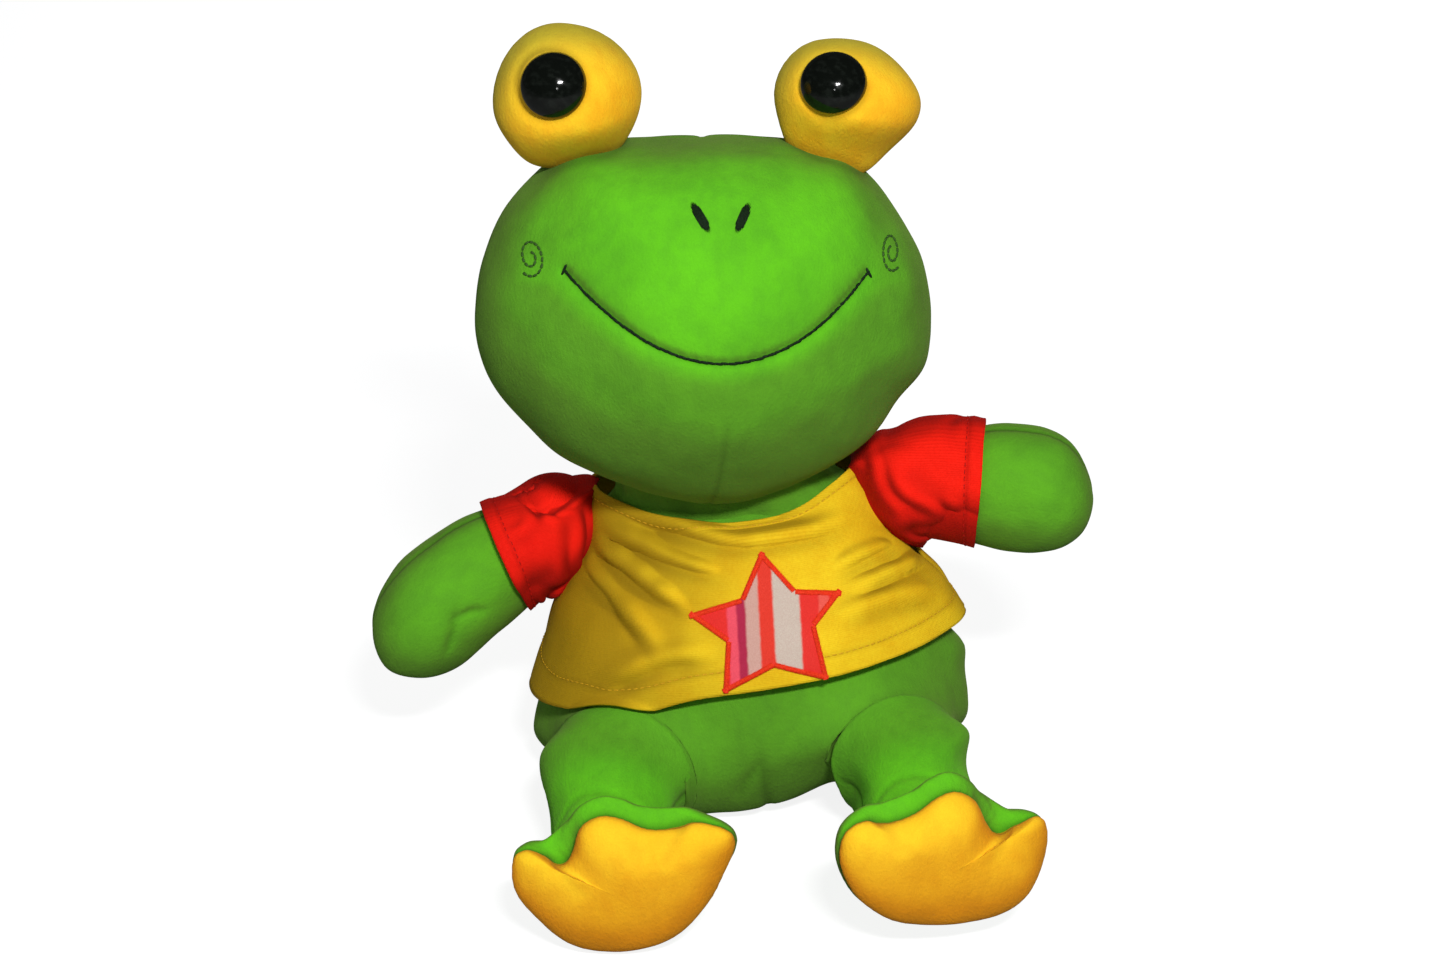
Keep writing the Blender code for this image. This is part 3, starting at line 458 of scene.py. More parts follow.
def soft_union(points: Points, own: StandOff, other: StandOff, reach: float, over: float) -> Points:
    """How points of one form move so that it runs into another form in one soft curve.

    Args:
        points: Points of the first form's surface.
        own: How far points stand off the first form, and the way out of it.
        other: The same for the second form.
        reach: How far from the second form the curve starts.
        over: How deep inside the second form points still follow the curve. Deeper ones stay below it.

    Returns:
        The movement of each point.
    """
    moved = points.copy()
    sink = 0.4 * np.clip(other(points)[0] + over, -0.03, 0.0)
    for _ in range(5):
        (gap, way), (far, far_way) = own(moved), other(moved)
        share = np.clip(0.5 + 0.5 * (far - gap) / reach, 0, 1)
        level = mix(far, gap, share) - reach * share * (1 - share)
        slope = mix(far_way, way, share[:, None])
        steep = np.maximum((slope**2).sum(axis=1), 0.3)
        moved -= slope * ((level - sink) / steep)[:, None]
    return moved - points


class Piece:
    """A mesh while it is being shaped, with what its finish reads at each point."""

    def __init__(self, name: str, points: Points, faces: Points, rest: Points | None = None) -> None:
        """Start from a plain mesh.

        Args:
            name: The piece's name.
            points: Its points in the world.
            faces: Its faces.
            rest: The same points in the piece's own frame, which its finish follows.
        """
        self.name = name
        self.points = np.array(points, dtype=float)
        self.faces = np.array(faces)
        self.rest = np.array(points if rest is None else rest, dtype=float)
        # Painted shade in seams, folds and where parts meet, from 0 to 1.
        self.shade = np.zeros(len(self.points))
        # Painted shade on surfaces that face away from the light, from 0 to 1. On the badge it holds the stripe share.
        self.painted_shade_and_stripe = np.zeros(len(self.points))

    def facings(self) -> Points:
        """The normal of each face, twice as long as its area."""
        corners = self.points[self.faces]
        return np.cross(corners[:, 2] - corners[:, 0], corners[:, 3] - corners[:, 1])

    def normals(self) -> Points:
        """The normal at each point.

        Returns:
            A unit normal for each point.
        """
        across = self.facings()
        total = np.zeros_like(self.points)
        for corner in range(self.faces.shape[1]):
            np.add.at(total, self.faces[:, corner], across)
        return unit(total)

    def push(self, amount: Points) -> None:
        """Move the points along their normals."""
        self.points += self.normals() * np.asarray(amount)[:, None]

    def paint_shade(self, shade: Points) -> None:
        """Paint shade into the finish, at least as dark as a given amount."""
        self.shade = np.maximum(self.shade, shade)

    def sew(self, distance: Points, width: float, depth: float, along: Points, stitch: float) -> None:
        """Pull a seam in, with a small pucker at each stitch, and paint shade into its groove.

        Args:
            distance: How far each point is from the seam.
            width: How wide the seam's groove is.
            depth: How deep it is.
            along: How far along the seam each point is.
            stitch: The length of a pucker.
        """
        pucker = 0.5 + 0.5 * np.sin(math.tau * along / stitch)
        near = bell(distance, width)
        wide = bell(distance, width * 3.2)
        self.push(-depth * near - depth * 0.30 * wide - depth * 0.22 * wide * pucker)
        # Painted shade in the seam's groove and beside it.
        self.paint_shade(near * 0.75 + 0.12 * wide)

    def brush(self, strength: float, base: float = 0.0, way: Triple = (0.10, -0.80, 0.60)) -> None:
        """Paint shade into the colour where surfaces face away from the light, by mixing in the darker second colour.

        Args:
            strength: How much painted shade the flanks get. The far side gets less.
            base: How much painted shade every point gets.
            way: The direction towards the light, where no shade is painted.
        """
        facing = self.normals() @ unit(np.array(way))
        turn = ease((0.985 - facing) / 0.50) * (1 - 0.55 * ease((-0.10 - facing) / 0.50))
        self.painted_shade_and_stripe = np.maximum(self.painted_shade_and_stripe, base + (strength - base) * turn)

    def crease(self, pixels: Sequence[Pair], width: float, depth: float) -> None:
        """Press a crease into the side that the photograph shows.

        Args:
            pixels: Its path in the photograph.
            width: How wide it is.
            depth: How deep it is.
        """
        skin = self.skin()
        path = smooth_path([skin.seen(*spot)[0] for spot in pixels], 0.0015)
        distance, share, _ = line_distance(self.points, path)
        fade = np.sin(math.pi * np.clip(share * 0.9 + 0.05, 0, 1)) ** 0.7
        self.push(-depth * fade * (bell(distance, width) + 0.4 * bell(distance, width * 3)))
        # Painted shade along the crease.
        self.paint_shade(0.4 * fade * bell(distance, width * 0.8))

    def settle(self, height: float) -> None:
        """Press what would be under the floor up to just above it."""
        low = self.points[:, 2] < height
        self.points[low, 2] = height + (self.points[low, 2] - height) * 0.05

    def keep_off(self, stand_off: StandOff, gap: float, passes: int = 2) -> None:
        """Push the points out of a form until they clear it.

        Args:
            stand_off: How far points stand off the form, and the way out of it.
            gap: The least distance kept.
            passes: How often this is done.
        """
        for _ in range(passes):
            gaps, ways = stand_off(self.points)
            short = np.clip(gap - gaps, 0.0, 0.012)
            self.points += ways * short[:, None]

    def skin(self) -> Skin:
        """The piece's surface as it is now."""
        return Skin(self.points, self.faces)

    def area(self) -> float:
        """The surface's area."""
        return float(np.linalg.norm(self.facings(), axis=1).sum() / 2)

    def made(self, material: Material, slot: Slot, thickness: float = 0.0) -> bpy.types.Object:
        """Turn the piece into an object of the scene.

        Args:
            material: Its finish.
            slot: The record's name of that finish. Not used.
            thickness: The cloth's thickness, or 0 for a closed skin.

        Returns:
            The object.
        """
        mesh = bpy.data.meshes.new(self.name)
        mesh.from_pydata(self.points.tolist(), [], self.faces.tolist())
        place = mesh.attributes.new("rest_place", "FLOAT_VECTOR", "POINT")
        place.data.foreach_set("vector", self.rest.astype(np.float32).ravel())
        # Layers of painted shade, the second of which holds the stripe share on the badge.
        for name, values in (("painted_seam_and_fold_shade", self.shade), ("painted_shade_and_stripe_level", self.painted_shade_and_stripe)):
            layer = mesh.attributes.new(name, "FLOAT", "POINT")
            layer.data.foreach_set("value", np.clip(values, 0, 1).astype(np.float32))
        mesh.shade_smooth()
        mesh.materials.append(material)
        thing = bpy.data.objects.new(self.name, mesh)
        bpy.context.scene.collection.objects.link(thing)
        if thickness:
            cloth = thing.modifiers.new("cloth_thickness", "SOLIDIFY")
            cloth.thickness = thickness
            cloth.offset = 1.0
        LOG.info("%s: %d points", self.name, len(self.points))
        return thing


@dataclass(frozen=True)
class Stuffing:
    """Stuffing that presses a sewn cover outwards, found with a cloth simulation."""

    pressure: float = 220.0
    frames: int = 20
    cap: float = 0.0035
    slack: float = 0.0008
    detail: int = 22
    near: int = 6

    def swell(self, name: str, shape: Form, held: Form) -> Shift:
        """Blow up a coarse cover, and keep how its points moved.

        Args:
            name: The piece's name.
            shape: World points for directions out of the piece's middle.
            held: How firmly seams hold points, from 0 to 1, for the same directions.

        Returns:
            The movement for each direction.
        """
        directions, quads = sphere_grid(self.detail)
        points = shape(directions)
        cover = Piece(name + "_cover_in_work", points, quads)
        cover.push(np.full(len(points), -self.slack))
        mesh = bpy.data.meshes.new(cover.name)
        mesh.from_pydata(cover.points.tolist(), [], quads.tolist())
        thing = bpy.data.objects.new(cover.name, mesh)
        bpy.context.scene.collection.objects.link(thing)
        group = thing.vertex_groups.new(name="sewn")
        for index, grip in enumerate(held(directions)):
            if grip > 0.02:
                group.add([index], float(grip), "REPLACE")
        cloth = thing.modifiers.new("stuffing", "CLOTH")
        cloth.settings.use_pressure = True
        cloth.settings.uniform_pressure_force = self.pressure
        cloth.settings.effector_weights.gravity = 0.0
        cloth.settings.vertex_group_mass = "sewn"
        cloth.settings.quality = 6
        cloth.settings.mass = 0.2
        cloth.settings.tension_stiffness = 22.0
        cloth.settings.compression_stiffness = 12.0
        cloth.settings.bending_stiffness = 0.3
        cloth.collision_settings.use_collision = False
        cloth.point_cache.frame_start, cloth.point_cache.frame_end = 1, self.frames
        scene = bpy.context.scene
        for step in range(1, self.frames + 1):
            scene.frame_set(step)
        blown = thing.evaluated_get(bpy.context.evaluated_depsgraph_get()).to_mesh()
        after = np.zeros(len(points) * 3, dtype=np.float32)
        blown.vertices.foreach_get("co", after)
        bpy.data.objects.remove(thing, do_unlink=True)
        bpy.data.meshes.remove(mesh)
        scene.frame_set(1)
        moved = after.reshape(-1, 3).astype(float) - cover.points
        length = np.linalg.norm(moved, axis=1, keepdims=True)
        LOG.info("%s: stuffed, moved up to %.1f mm", name, 1000 * float(length.max()))
        return Shift(directions, moved * np.minimum(1, self.cap / np.maximum(length, 1e-9)), self.near)

    def filled(
        self, name: str, place: Matrix, detail: int, shape: Form, held: Form
    ) -> tuple[Piece, Points]:
        """Make a stuffed piece's skin.

        Args:
            name: The piece's name.
            place: Its frame.
            detail: How fine its grid is.
            shape: Its points in that frame for directions out of its middle.
            held: How firmly seams hold those points, from 0 to 1.

        Returns:
            The piece, and its plain points in its own frame.
        """
        directions, quads = sphere_grid(detail)
        local = shape(directions)
        piece = Piece(name, placed(place, local), quads, local)
        blown = self.swell(name, lambda ways: placed(place, shape(ways)), lambda ways: held(shape(ways)))
        piece.points += blown.at(directions)
        return piece, local


class Shift:
    """A movement kept for directions out of a piece's middle."""

    def __init__(self, directions: Points, moved: Points, near: int) -> None:
        """Keep a search tree of the directions.

        Args:
            directions: The directions.
            moved: The movement for each.
            near: How many neighbours a reading blends.
        """
        self.moved = moved
        self.near = near
        self.tree = KDTree(len(directions))
        for index, way in enumerate(directions):
            self.tree.insert(way, index)
        self.tree.balance()

    def at(self, directions: Points) -> Points:
        """The movement for other directions, blended from the nearest ones.

        Args:
            directions: Unit directions.

        Returns:
            The movement for each of them.
        """
        if not self.moved.any():
            return np.zeros_like(directions)
        total = np.zeros_like(directions)
        for row, way in enumerate(directions):
            found = self.tree.find_n(Vector(way), self.near)
            wide = found[-1][2] * 1.02 + 1e-9
            weights = [(1 - (gap / wide) ** 2) ** 2 for _, _, gap in found]
            blend = sum(weight * self.moved[index] for weight, (_, index, _) in zip(weights, found))
            total[row] = blend / sum(weights)
        return total


def joined(name: str, parts: Iterable[tuple[Points, Points]]) -> Piece:
    """One piece from many small meshes with the same kind of face.

    Args:
        name: The piece's name.
        parts: The points and faces of each small mesh.

    Returns:
        The piece.
    """
    points, faces, count = [], [], 0
    for part_points, part_faces in parts:
        points.append(part_points)
        faces.append(part_faces + count)
        count += len(part_points)
    return Piece(name, np.vstack(points), np.vstack(faces))


def stitch(start: Vector, end: Vector, normal: Vector, radius: float, height: float) -> tuple[Points, Points]:
    """One stitch of thread, a rounded lozenge between two points.

    Args:
        start: Where the thread comes out.
        end: Where it goes in.
        normal: The way out of the cloth.
        radius: Half the stitch's width.
        height: Half the stitch's height.

    Returns:
        Its points and faces.
    """
    directions, quads = sphere_grid(2)
    run = end - start
    along = run.normalized()
    upward = (normal - along * normal.dot(along)).normalized()
    side = along.cross(upward)
    shaped = np.copysign(np.abs(directions) ** 0.8, directions)
    shaped[:, 0] *= run.length / 2
    shaped[:, 1] *= radius
    shaped[:, 2] *= height
    turning = np.array([along, side, upward])
    return shaped @ turning + np.array((start + end) / 2), quads


def stitch_row(
    skin: Skin, path: Points, width: float, length: float, pitch: float, slant: float = 0.0
) -> list[tuple[Points, Points]]:
    """A row of stitches along a path near a surface.

    Args:
        skin: The surface that they lie on.
        path: The line that they follow.
        width: The thread's width.
        length: The length of a stitch.
        pitch: How far apart the stitches start.
        slant: How far a stitch leans off the line, as a share of its length.

    Returns:
        The stitches' meshes.
    """
    spots = evened(path, pitch)
    row = []
    for index in range(len(spots) - 1):
        middle = Vector((spots[index] + spots[index + 1]) / 2)
        run = Vector(spots[index + 1] - spots[index]).normalized()
        place, normal, _, _ = skin.tree.find_nearest(middle)
        side = run.cross(normal)
        lean = side * slant * length
        centre = place + normal * width * 0.18
        half = run * length / 2
        row.append(stitch(centre - half - lean, centre + half + lean, normal, width / 2, width * 0.38))
    return row


# Finishes


class Recipe:
    """A material's nodes while they are put together."""

    def __init__(self, name: str, colour: Colour, roughness: float) -> None:
        """Start from a plain finish.

        Args:
            name: The material's name.
            colour: Its average colour, linear.
            roughness: Its average roughness.
        """
        self.material = bpy.data.materials.new(name)
        self.material.use_nodes = True
        self.material.diffuse_color = (*colour, 1.0)
        self.tree = self.material.node_tree
        self.shader = self.tree.nodes["Principled BSDF"]
        self.shader.inputs["Base Color"].default_value = (*colour, 1.0)
        self.shader.inputs["Roughness"].default_value = roughness
        self.place = self.node("ShaderNodeAttribute", attribute_name="rest_place").outputs["Vector"]

    def node(self, kind: str, **settings: object) -> bpy.types.Node:
        """A new node with some of its settings.

        Args:
            kind: Blender's name for it.
            settings: Its settings.

        Returns:
            The node.
        """
        made = self.tree.nodes.new(kind)
        for name, value in settings.items():
            setattr(made, name, value)
        return made

    def feed(self, socket: Socket, value: object) -> None:
        """Set a socket to a number or colour, or link another socket into it."""
        if isinstance(value, Socket):
            self.tree.links.new(value, socket)
        else:
            socket.default_value = value

    def level(self, name: str) -> Socket:
        """A number kept at each point of the mesh."""
        return self.node("ShaderNodeAttribute", attribute_name=name).outputs["Fac"]

    def stretched(self, scale: Triple) -> Socket:
        """The piece's own coordinates, drawn out along its axes.

        Args:
            scale: The scale along each axis.

        Returns:
            The coordinates.
        """
        mapping = self.node("ShaderNodeMapping")
        self.feed(mapping.inputs["Vector"], self.place)
        mapping.inputs["Scale"].default_value = scale
        return mapping.outputs["Vector"]

    def grain(
        self, scale: float, detail: float = 3.0, stretch: Triple = (1, 1, 1)
    ) -> Socket:
        """Noise with a given number of grains a metre.

        Args:
            scale: Grains a metre.
            detail: How many finer layers it has.
            stretch: The scale along each axis.

        Returns:
            The noise's value.
        """
        made = self.node("ShaderNodeTexNoise")
        self.feed(made.inputs["Vector"], self.stretched(stretch))
        made.inputs["Scale"].default_value = scale
        made.inputs["Detail"].default_value = detail
        return made.outputs["Fac"]

    def maths(self, operation: str, first: object, second: object = 0.0) -> Socket:
        """A sum on two values.

        Args:
            operation: Blender's name for the sum.
            first: The first value.
            second: The second value.

        Returns:
            The result.
        """
        made = self.node("ShaderNodeMath", operation=operation)
        self.feed(made.inputs[0], first)
        self.feed(made.inputs[1], second)
        return made.outputs[0]

    def spread(self, value: object, low: float, high: float) -> Socket:
        """A value mapped from a range to 0 to 1, smoothly and clamped.

        Args:
            value: The value.
            low: What becomes 0.
            high: What becomes 1.

        Returns:
            The mapped value.
        """
        made = self.node("ShaderNodeMapRange", interpolation_type="SMOOTHSTEP")
        self.feed(made.inputs["Value"], value)
        for name, number in (("From Min", low), ("From Max", high)):
            made.inputs[name].default_value = number
        return made.outputs["Result"]

    def mixed(self, share: object, first: object, second: object, way: str = "MIX") -> Socket:
        """Two colours mixed.

        Args:
            share: The share of the second colour.
            first: The first colour.
            second: The second colour.
            way: Blender's name for how they mix.

        Returns:
            The mixed colour.
        """
        made = self.node("ShaderNodeMix", data_type="RGBA", blend_type=way)
        self.feed(made.inputs["Factor"], share)
        colours = [socket for socket in made.inputs if socket.type == "RGBA"]
        for socket, value in zip(colours, (first, second)):
            self.feed(socket, (*value, 1.0) if isinstance(value, tuple) else value)
        return next(socket for socket in made.outputs if socket.type == "RGBA")

    def total(self, *parts: tuple[object, float]) -> Socket:
        """The sum of several values, each with its weight.

        Args:
            parts: Each value with its weight.

        Returns:
            The sum.
        """
        whole, *rest = [self.maths("MULTIPLY", value, weight) for value, weight in parts]
        for part in rest:
            whole = self.maths("ADD", whole, part)
        return whole

    def with_painted_shade(self, colour: object, strength: float) -> Socket:
        """A colour with painted shade along seams, in folds and where parts meet.

        Args:
            colour: The colour.
            strength: How much darker it is in full shade, from 0 to 1.

        Returns:
            The darker colour.
        """
        dark = self.maths("SUBTRACT", 1.0, self.maths("MULTIPLY", self.level("painted_seam_and_fold_shade"), strength))
        shadow = self.node("ShaderNodeCombineColor")
        for socket in shadow.inputs:
            self.feed(socket, dark)
        return self.mixed(1.0, colour, shadow.outputs["Color"], "MULTIPLY")

    def relief(self, height: object, distance: float, strength: float = 1.0, over: object = None) -> object:
        """A bump of a given height, over another if there is one.

        Args:
            height: The height, from 0 to 1.
            distance: How many metres a height of 1 is.
            strength: How strongly it shows.
            over: The relief that it lies on.

        Returns:
            The normal.
        """
        made = self.node("ShaderNodeBump")
        made.inputs["Strength"].default_value = strength
        made.inputs["Distance"].default_value = distance
        self.feed(made.inputs["Height"], height)
        if over is not None:
            self.feed(made.inputs["Normal"], over)
        return made.outputs["Normal"]

    def finish(self, colour: object, roughness: object, normal: object = None) -> Material:
        """Feed the shader and give the material back.

        Args:
            colour: The colour.
            roughness: The roughness.
            normal: The relief, if it has one.

        Returns:
            The material.
        """
        self.feed(self.shader.inputs["Base Color"], colour)
        self.feed(self.shader.inputs["Roughness"], roughness)
        if normal is not None:
            self.feed(self.shader.inputs["Normal"], normal)
        return self.material


@dataclass(frozen=True)
class PlushFinish:
    """Short-pile plush: soft patches where the pile leans, strokes in the pile, a fine nap, and painted shade."""

    name: str
    light: Colour
    deep: Colour
    # The colour of its painted shade.
    second: Colour
    glance: Colour
    sheen: float = 0.16
    stroke: Triple = (1.0, 1.0, 0.60)

    def made(self) -> Material:
        """Build the material.

        Returns:
            The material.
        """
        recipe = Recipe(self.name, self.light, 0.88)
        recipe.shader.inputs["Sheen Weight"].default_value = self.sheen
        recipe.shader.inputs["Sheen Roughness"].default_value = 0.45
        recipe.shader.inputs["Sheen Tint"].default_value = (*self.glance, 1.0)
        recipe.shader.inputs["Specular IOR Level"].default_value = 0.12
        patches = recipe.spread(recipe.grain(30, 3), 0.38, 0.68)
        strokes = recipe.spread(recipe.grain(190, 4, self.stroke), 0.34, 0.68)
        nap = recipe.spread(recipe.grain(1500, 3), 0.32, 0.68)
        pile = recipe.total((patches, 0.52), (strokes, 0.30), (nap, 0.18))
        colour = recipe.mixed(pile, self.light, self.deep)
        # Painted shade: the darker second colour, mixed in on flanks and under the chin.
        second = recipe.mixed(pile, self.second, tuple(0.8 * part for part in self.second))
        colour = recipe.mixed(recipe.level("painted_shade_and_stripe_level"), colour, second)
        # Painted shade along seams and in folds.
        colour = recipe.with_painted_shade(colour, 0.55)
        roughness = recipe.maths("SUBTRACT", 0.95, recipe.maths("MULTIPLY", strokes, 0.12))
        coarse = recipe.relief(recipe.grain(900, 4, self.stroke), 0.0006, 0.55)
        fine = recipe.relief(recipe.grain(2600, 2), 0.0003, 0.6, coarse)
        return recipe.finish(colour, roughness, fine)


@dataclass(frozen=True)
class JerseyFinish:
    """Fine cotton jersey: knitted wales, soft patches, and painted shade in its folds and on its flanks."""

    name: str
    light: Colour
    deep: Colour
    # The colour of its painted shade.
    second: Colour
    wales: float = 1250.0

    def made(self) -> Material:
        """Build the material.

        Returns:
            The material.
        """
        recipe = Recipe(self.name, self.light, 0.78)
        recipe.shader.inputs["Sheen Weight"].default_value = 0.06
        recipe.shader.inputs["Sheen Roughness"].default_value = 0.5
        recipe.shader.inputs["Sheen Tint"].default_value = (*self.light, 1.0)
        recipe.shader.inputs["Specular IOR Level"].default_value = 0.10
        patches = recipe.spread(recipe.grain(42, 3), 0.38, 0.68)
        fibres = recipe.spread(recipe.grain(900, 4), 0.3, 0.7)
        wave = recipe.node("ShaderNodeTexWave", wave_type="BANDS", bands_direction="X")
        recipe.feed(wave.inputs["Vector"], recipe.place)
        wave.inputs["Scale"].default_value = self.wales / 2
        wave.inputs["Distortion"].default_value = 0.6
        wave.inputs["Detail Scale"].default_value = 2.0
        rows = recipe.node("ShaderNodeTexWave", wave_type="BANDS", bands_direction="Z")
        recipe.feed(rows.inputs["Vector"], recipe.place)
        rows.inputs["Scale"].default_value = self.wales / 2.6
        rows.inputs["Distortion"].default_value = 0.8
        knit = recipe.maths("MULTIPLY", wave.outputs["Fac"], rows.outputs["Fac"])
        share = recipe.total((patches, 0.55), (fibres, 0.25), (knit, 0.20))
        colour = recipe.mixed(share, self.light, self.deep)
        # Painted shade: the second colour on flanks, then darker along seams and in folds.
        colour = recipe.mixed(recipe.level("painted_shade_and_stripe_level"), colour, self.second)
        colour = recipe.with_painted_shade(colour, 0.6)
        roughness = recipe.maths("ADD", 0.72, recipe.maths("MULTIPLY", fibres, 0.14))
        normal = recipe.relief(knit, 0.00018, 0.7)
        normal = recipe.relief(fibres, 0.0001, 0.5, normal)
        return recipe.finish(colour, roughness, normal)


@dataclass(frozen=True)
class ThreadFinish:
    """Embroidery thread with a little gloss and twisted plies."""

    name: str
    light: Colour
    deep: Colour
    roughness: float = 0.5

    def made(self) -> Material:
        """Build the material.

        Returns:
            The material.
        """
        recipe = Recipe(self.name, self.light, self.roughness)
        recipe.shader.inputs["Specular IOR Level"].default_value = 0.12
        plies = recipe.spread(recipe.grain(3200, 2, (1.0, 1.0, 0.4)), 0.35, 0.65)
        colour = recipe.mixed(plies, self.light, self.deep)
        roughness = recipe.maths("ADD", self.roughness - 0.06, recipe.maths("MULTIPLY", plies, 0.14))
        return recipe.finish(colour, roughness, recipe.relief(plies, 0.00012, 0.8))


@dataclass(frozen=True)
class PlasticFinish:
    """Moulded plastic with faint handling marks."""

    name: str
    colour: Colour
    base_roughness: float = 0.09
    specular: float = 0.34

    def made(self) -> Material:
        """Build the material.

        Returns:
            The material.
        """
        recipe = Recipe(self.name, self.colour, self.base_roughness)
        recipe.shader.inputs["Specular IOR Level"].default_value = self.specular
        marks = recipe.spread(recipe.grain(420, 5), 0.45, 0.75)
        colour = recipe.mixed(marks, self.colour, tuple(part * 2.2 + 0.001 for part in self.colour))
        roughness = recipe.maths("ADD", self.base_roughness, recipe.maths("MULTIPLY", marks, 0.08))
        return recipe.finish(colour, roughness, recipe.relief(recipe.grain(130, 2), 0.00005, 0.3))


@dataclass(frozen=True)
class Stripe:
    """A stripe of the printed badge, from its left edge to the next stripe."""

    start: float
    colour: Colour


@dataclass(frozen=True)
class BadgeFinish:
    """Printed cloth with upright stripes of unlike widths."""

    name: str
    stripes: tuple[Stripe, ...]

    def made(self) -> Material:
        """Build the material. On the badge, the layer that holds painted shade elsewhere holds the share of the way
        across it.

        Returns:
            The material.
        """
        recipe = Recipe(self.name, self.stripes[0].colour, 0.7)
        recipe.shader.inputs["Specular IOR Level"].default_value = 0.25
        wobble = recipe.maths("MULTIPLY", recipe.maths("SUBTRACT", recipe.grain(260, 3), 0.5), 0.016)
        across = recipe.maths("ADD", recipe.level("painted_shade_and_stripe_level"), wobble)
        ramp = recipe.node("ShaderNodeValToRGB")
        recipe.feed(ramp.inputs["Fac"], across)
        ramp.color_ramp.interpolation = "EASE"
        soft = 0.010
        elements = ramp.color_ramp.elements
        elements[0].position = 0.0
        elements[0].color = (*self.stripes[0].colour, 1.0)
        elements[1].position = 1.0
        elements[1].color = (*self.stripes[-1].colour, 1.0)
        for before, after in zip(self.stripes, self.stripes[1:]):
            elements.new(after.start - soft).color = (*before.colour, 1.0)
            elements.new(after.start + soft).color = (*after.colour, 1.0)
        weave = recipe.spread(recipe.grain(2400, 2), 0.3, 0.7)
        colour = recipe.mixed(recipe.maths("MULTIPLY", weave, 0.18), ramp.outputs["Color"], (0.30, 0.02, 0.02))
        return recipe.finish(colour, recipe.maths("ADD", 0.6, recipe.maths("MULTIPLY", weave, 0.15)),
                             recipe.relief(weave, 0.00012, 0.6))


@dataclass(frozen=True)
class Finishes:
    """Every finish of the frog, built once."""

    green: Material
    yellow: Material
    sole: Material
    yellow_jersey: Material
    red_jersey: Material
    dark_thread: Material
    olive_thread: Material
    yellow_thread: Material
    red_thread: Material
    border_thread: Material
    badge: Material
    black: Material
    clear: Material

    @staticmethod
    def made() -> Finishes:
        """Build the materials.

        Returns:
            The finishes.
        """
        stripes = (
            Stripe(0.0, (0.80, 0.018, 0.012)),
            Stripe(0.255, (0.86, 0.075, 0.12)),
            Stripe(0.318, (0.42, 0.008, 0.055)),
            Stripe(0.375, (0.62, 0.36, 0.30)),
            Stripe(0.465, (0.78, 0.032, 0.012)),
            Stripe(0.560, (0.60, 0.50, 0.42)),
            Stripe(0.735, (0.80, 0.022, 0.014)),
            Stripe(0.860, (0.84, 0.10, 0.07)),
            Stripe(0.930, (0.78, 0.020, 0.012)),
        )
        # The third colour of each plush and jersey finish is its painted shade colour: olive for the green and yellow
        # plush, orange for the sole, olive-brown and dark red for the jerseys. The sole is nearly the same yellow
        # plush, made as a material of its own so that its painted shade turns orange.
        return Finishes(
            green=PlushFinish(
                "green_plush", (0.128, 0.560, 0.012), (0.092, 0.400, 0.012), (0.105, 0.225, 0.022), (0.40, 0.42, 0.16)
            ).made(),
            sole=PlushFinish(
                "yellow_plush_sole", (0.98, 0.620, 0.020), (0.94, 0.46, 0.010), (0.80, 0.30, 0.008), (0.50, 0.36, 0.10)
            ).made(),
            yellow=PlushFinish(
                "yellow_plush", (0.98, 0.600, 0.022), (0.93, 0.42, 0.010), (0.46, 0.40, 0.03), (0.50, 0.42, 0.14)
            ).made(),
            yellow_jersey=JerseyFinish(
                "yellow_jersey", (0.93, 0.640, 0.016), (0.78, 0.42, 0.006), (0.42, 0.25, 0.006)
            ).made(),
            red_jersey=JerseyFinish(
                "red_jersey", (0.98, 0.014, 0.004), (0.78, 0.008, 0.003), (0.34, 0.006, 0.003)
            ).made(),
            dark_thread=ThreadFinish("dark_thread", (0.012, 0.030, 0.010), (0.004, 0.012, 0.004)).made(),
            olive_thread=ThreadFinish("olive_thread", (0.050, 0.130, 0.022), (0.032, 0.085, 0.014)).made(),
            yellow_thread=ThreadFinish("yellow_thread", (0.78, 0.46, 0.02), (0.58, 0.30, 0.01)).made(),
            red_thread=ThreadFinish("red_thread", (0.62, 0.010, 0.006), (0.36, 0.006, 0.004)).made(),
            border_thread=ThreadFinish("border_thread", (0.95, 0.060, 0.016), (0.80, 0.030, 0.010), 0.4).made(),
            badge=BadgeFinish("badge_print", stripes).made(),
            black=PlasticFinish("black_plastic", (0.003, 0.004, 0.003)).made(),
            clear=PlasticFinish("clear_plastic", (0.62, 0.64, 0.62), 0.22, 0.45).made(),
        )


@dataclass(frozen=True)
class Joints:
    """The pivots of the construction model, by joint name."""

    places: dict[str, Vector]

    @staticmethod
    def read() -> Joints:
        """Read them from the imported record."""
        rows = frame["record"]["behaviour"]["joints"]
        return Joints({row["name"]: Vector(row["pos_m"]) for row in rows})

    def at(self, name: str) -> Vector:
        """One pivot."""
        return self.places[name].copy()


# The frog


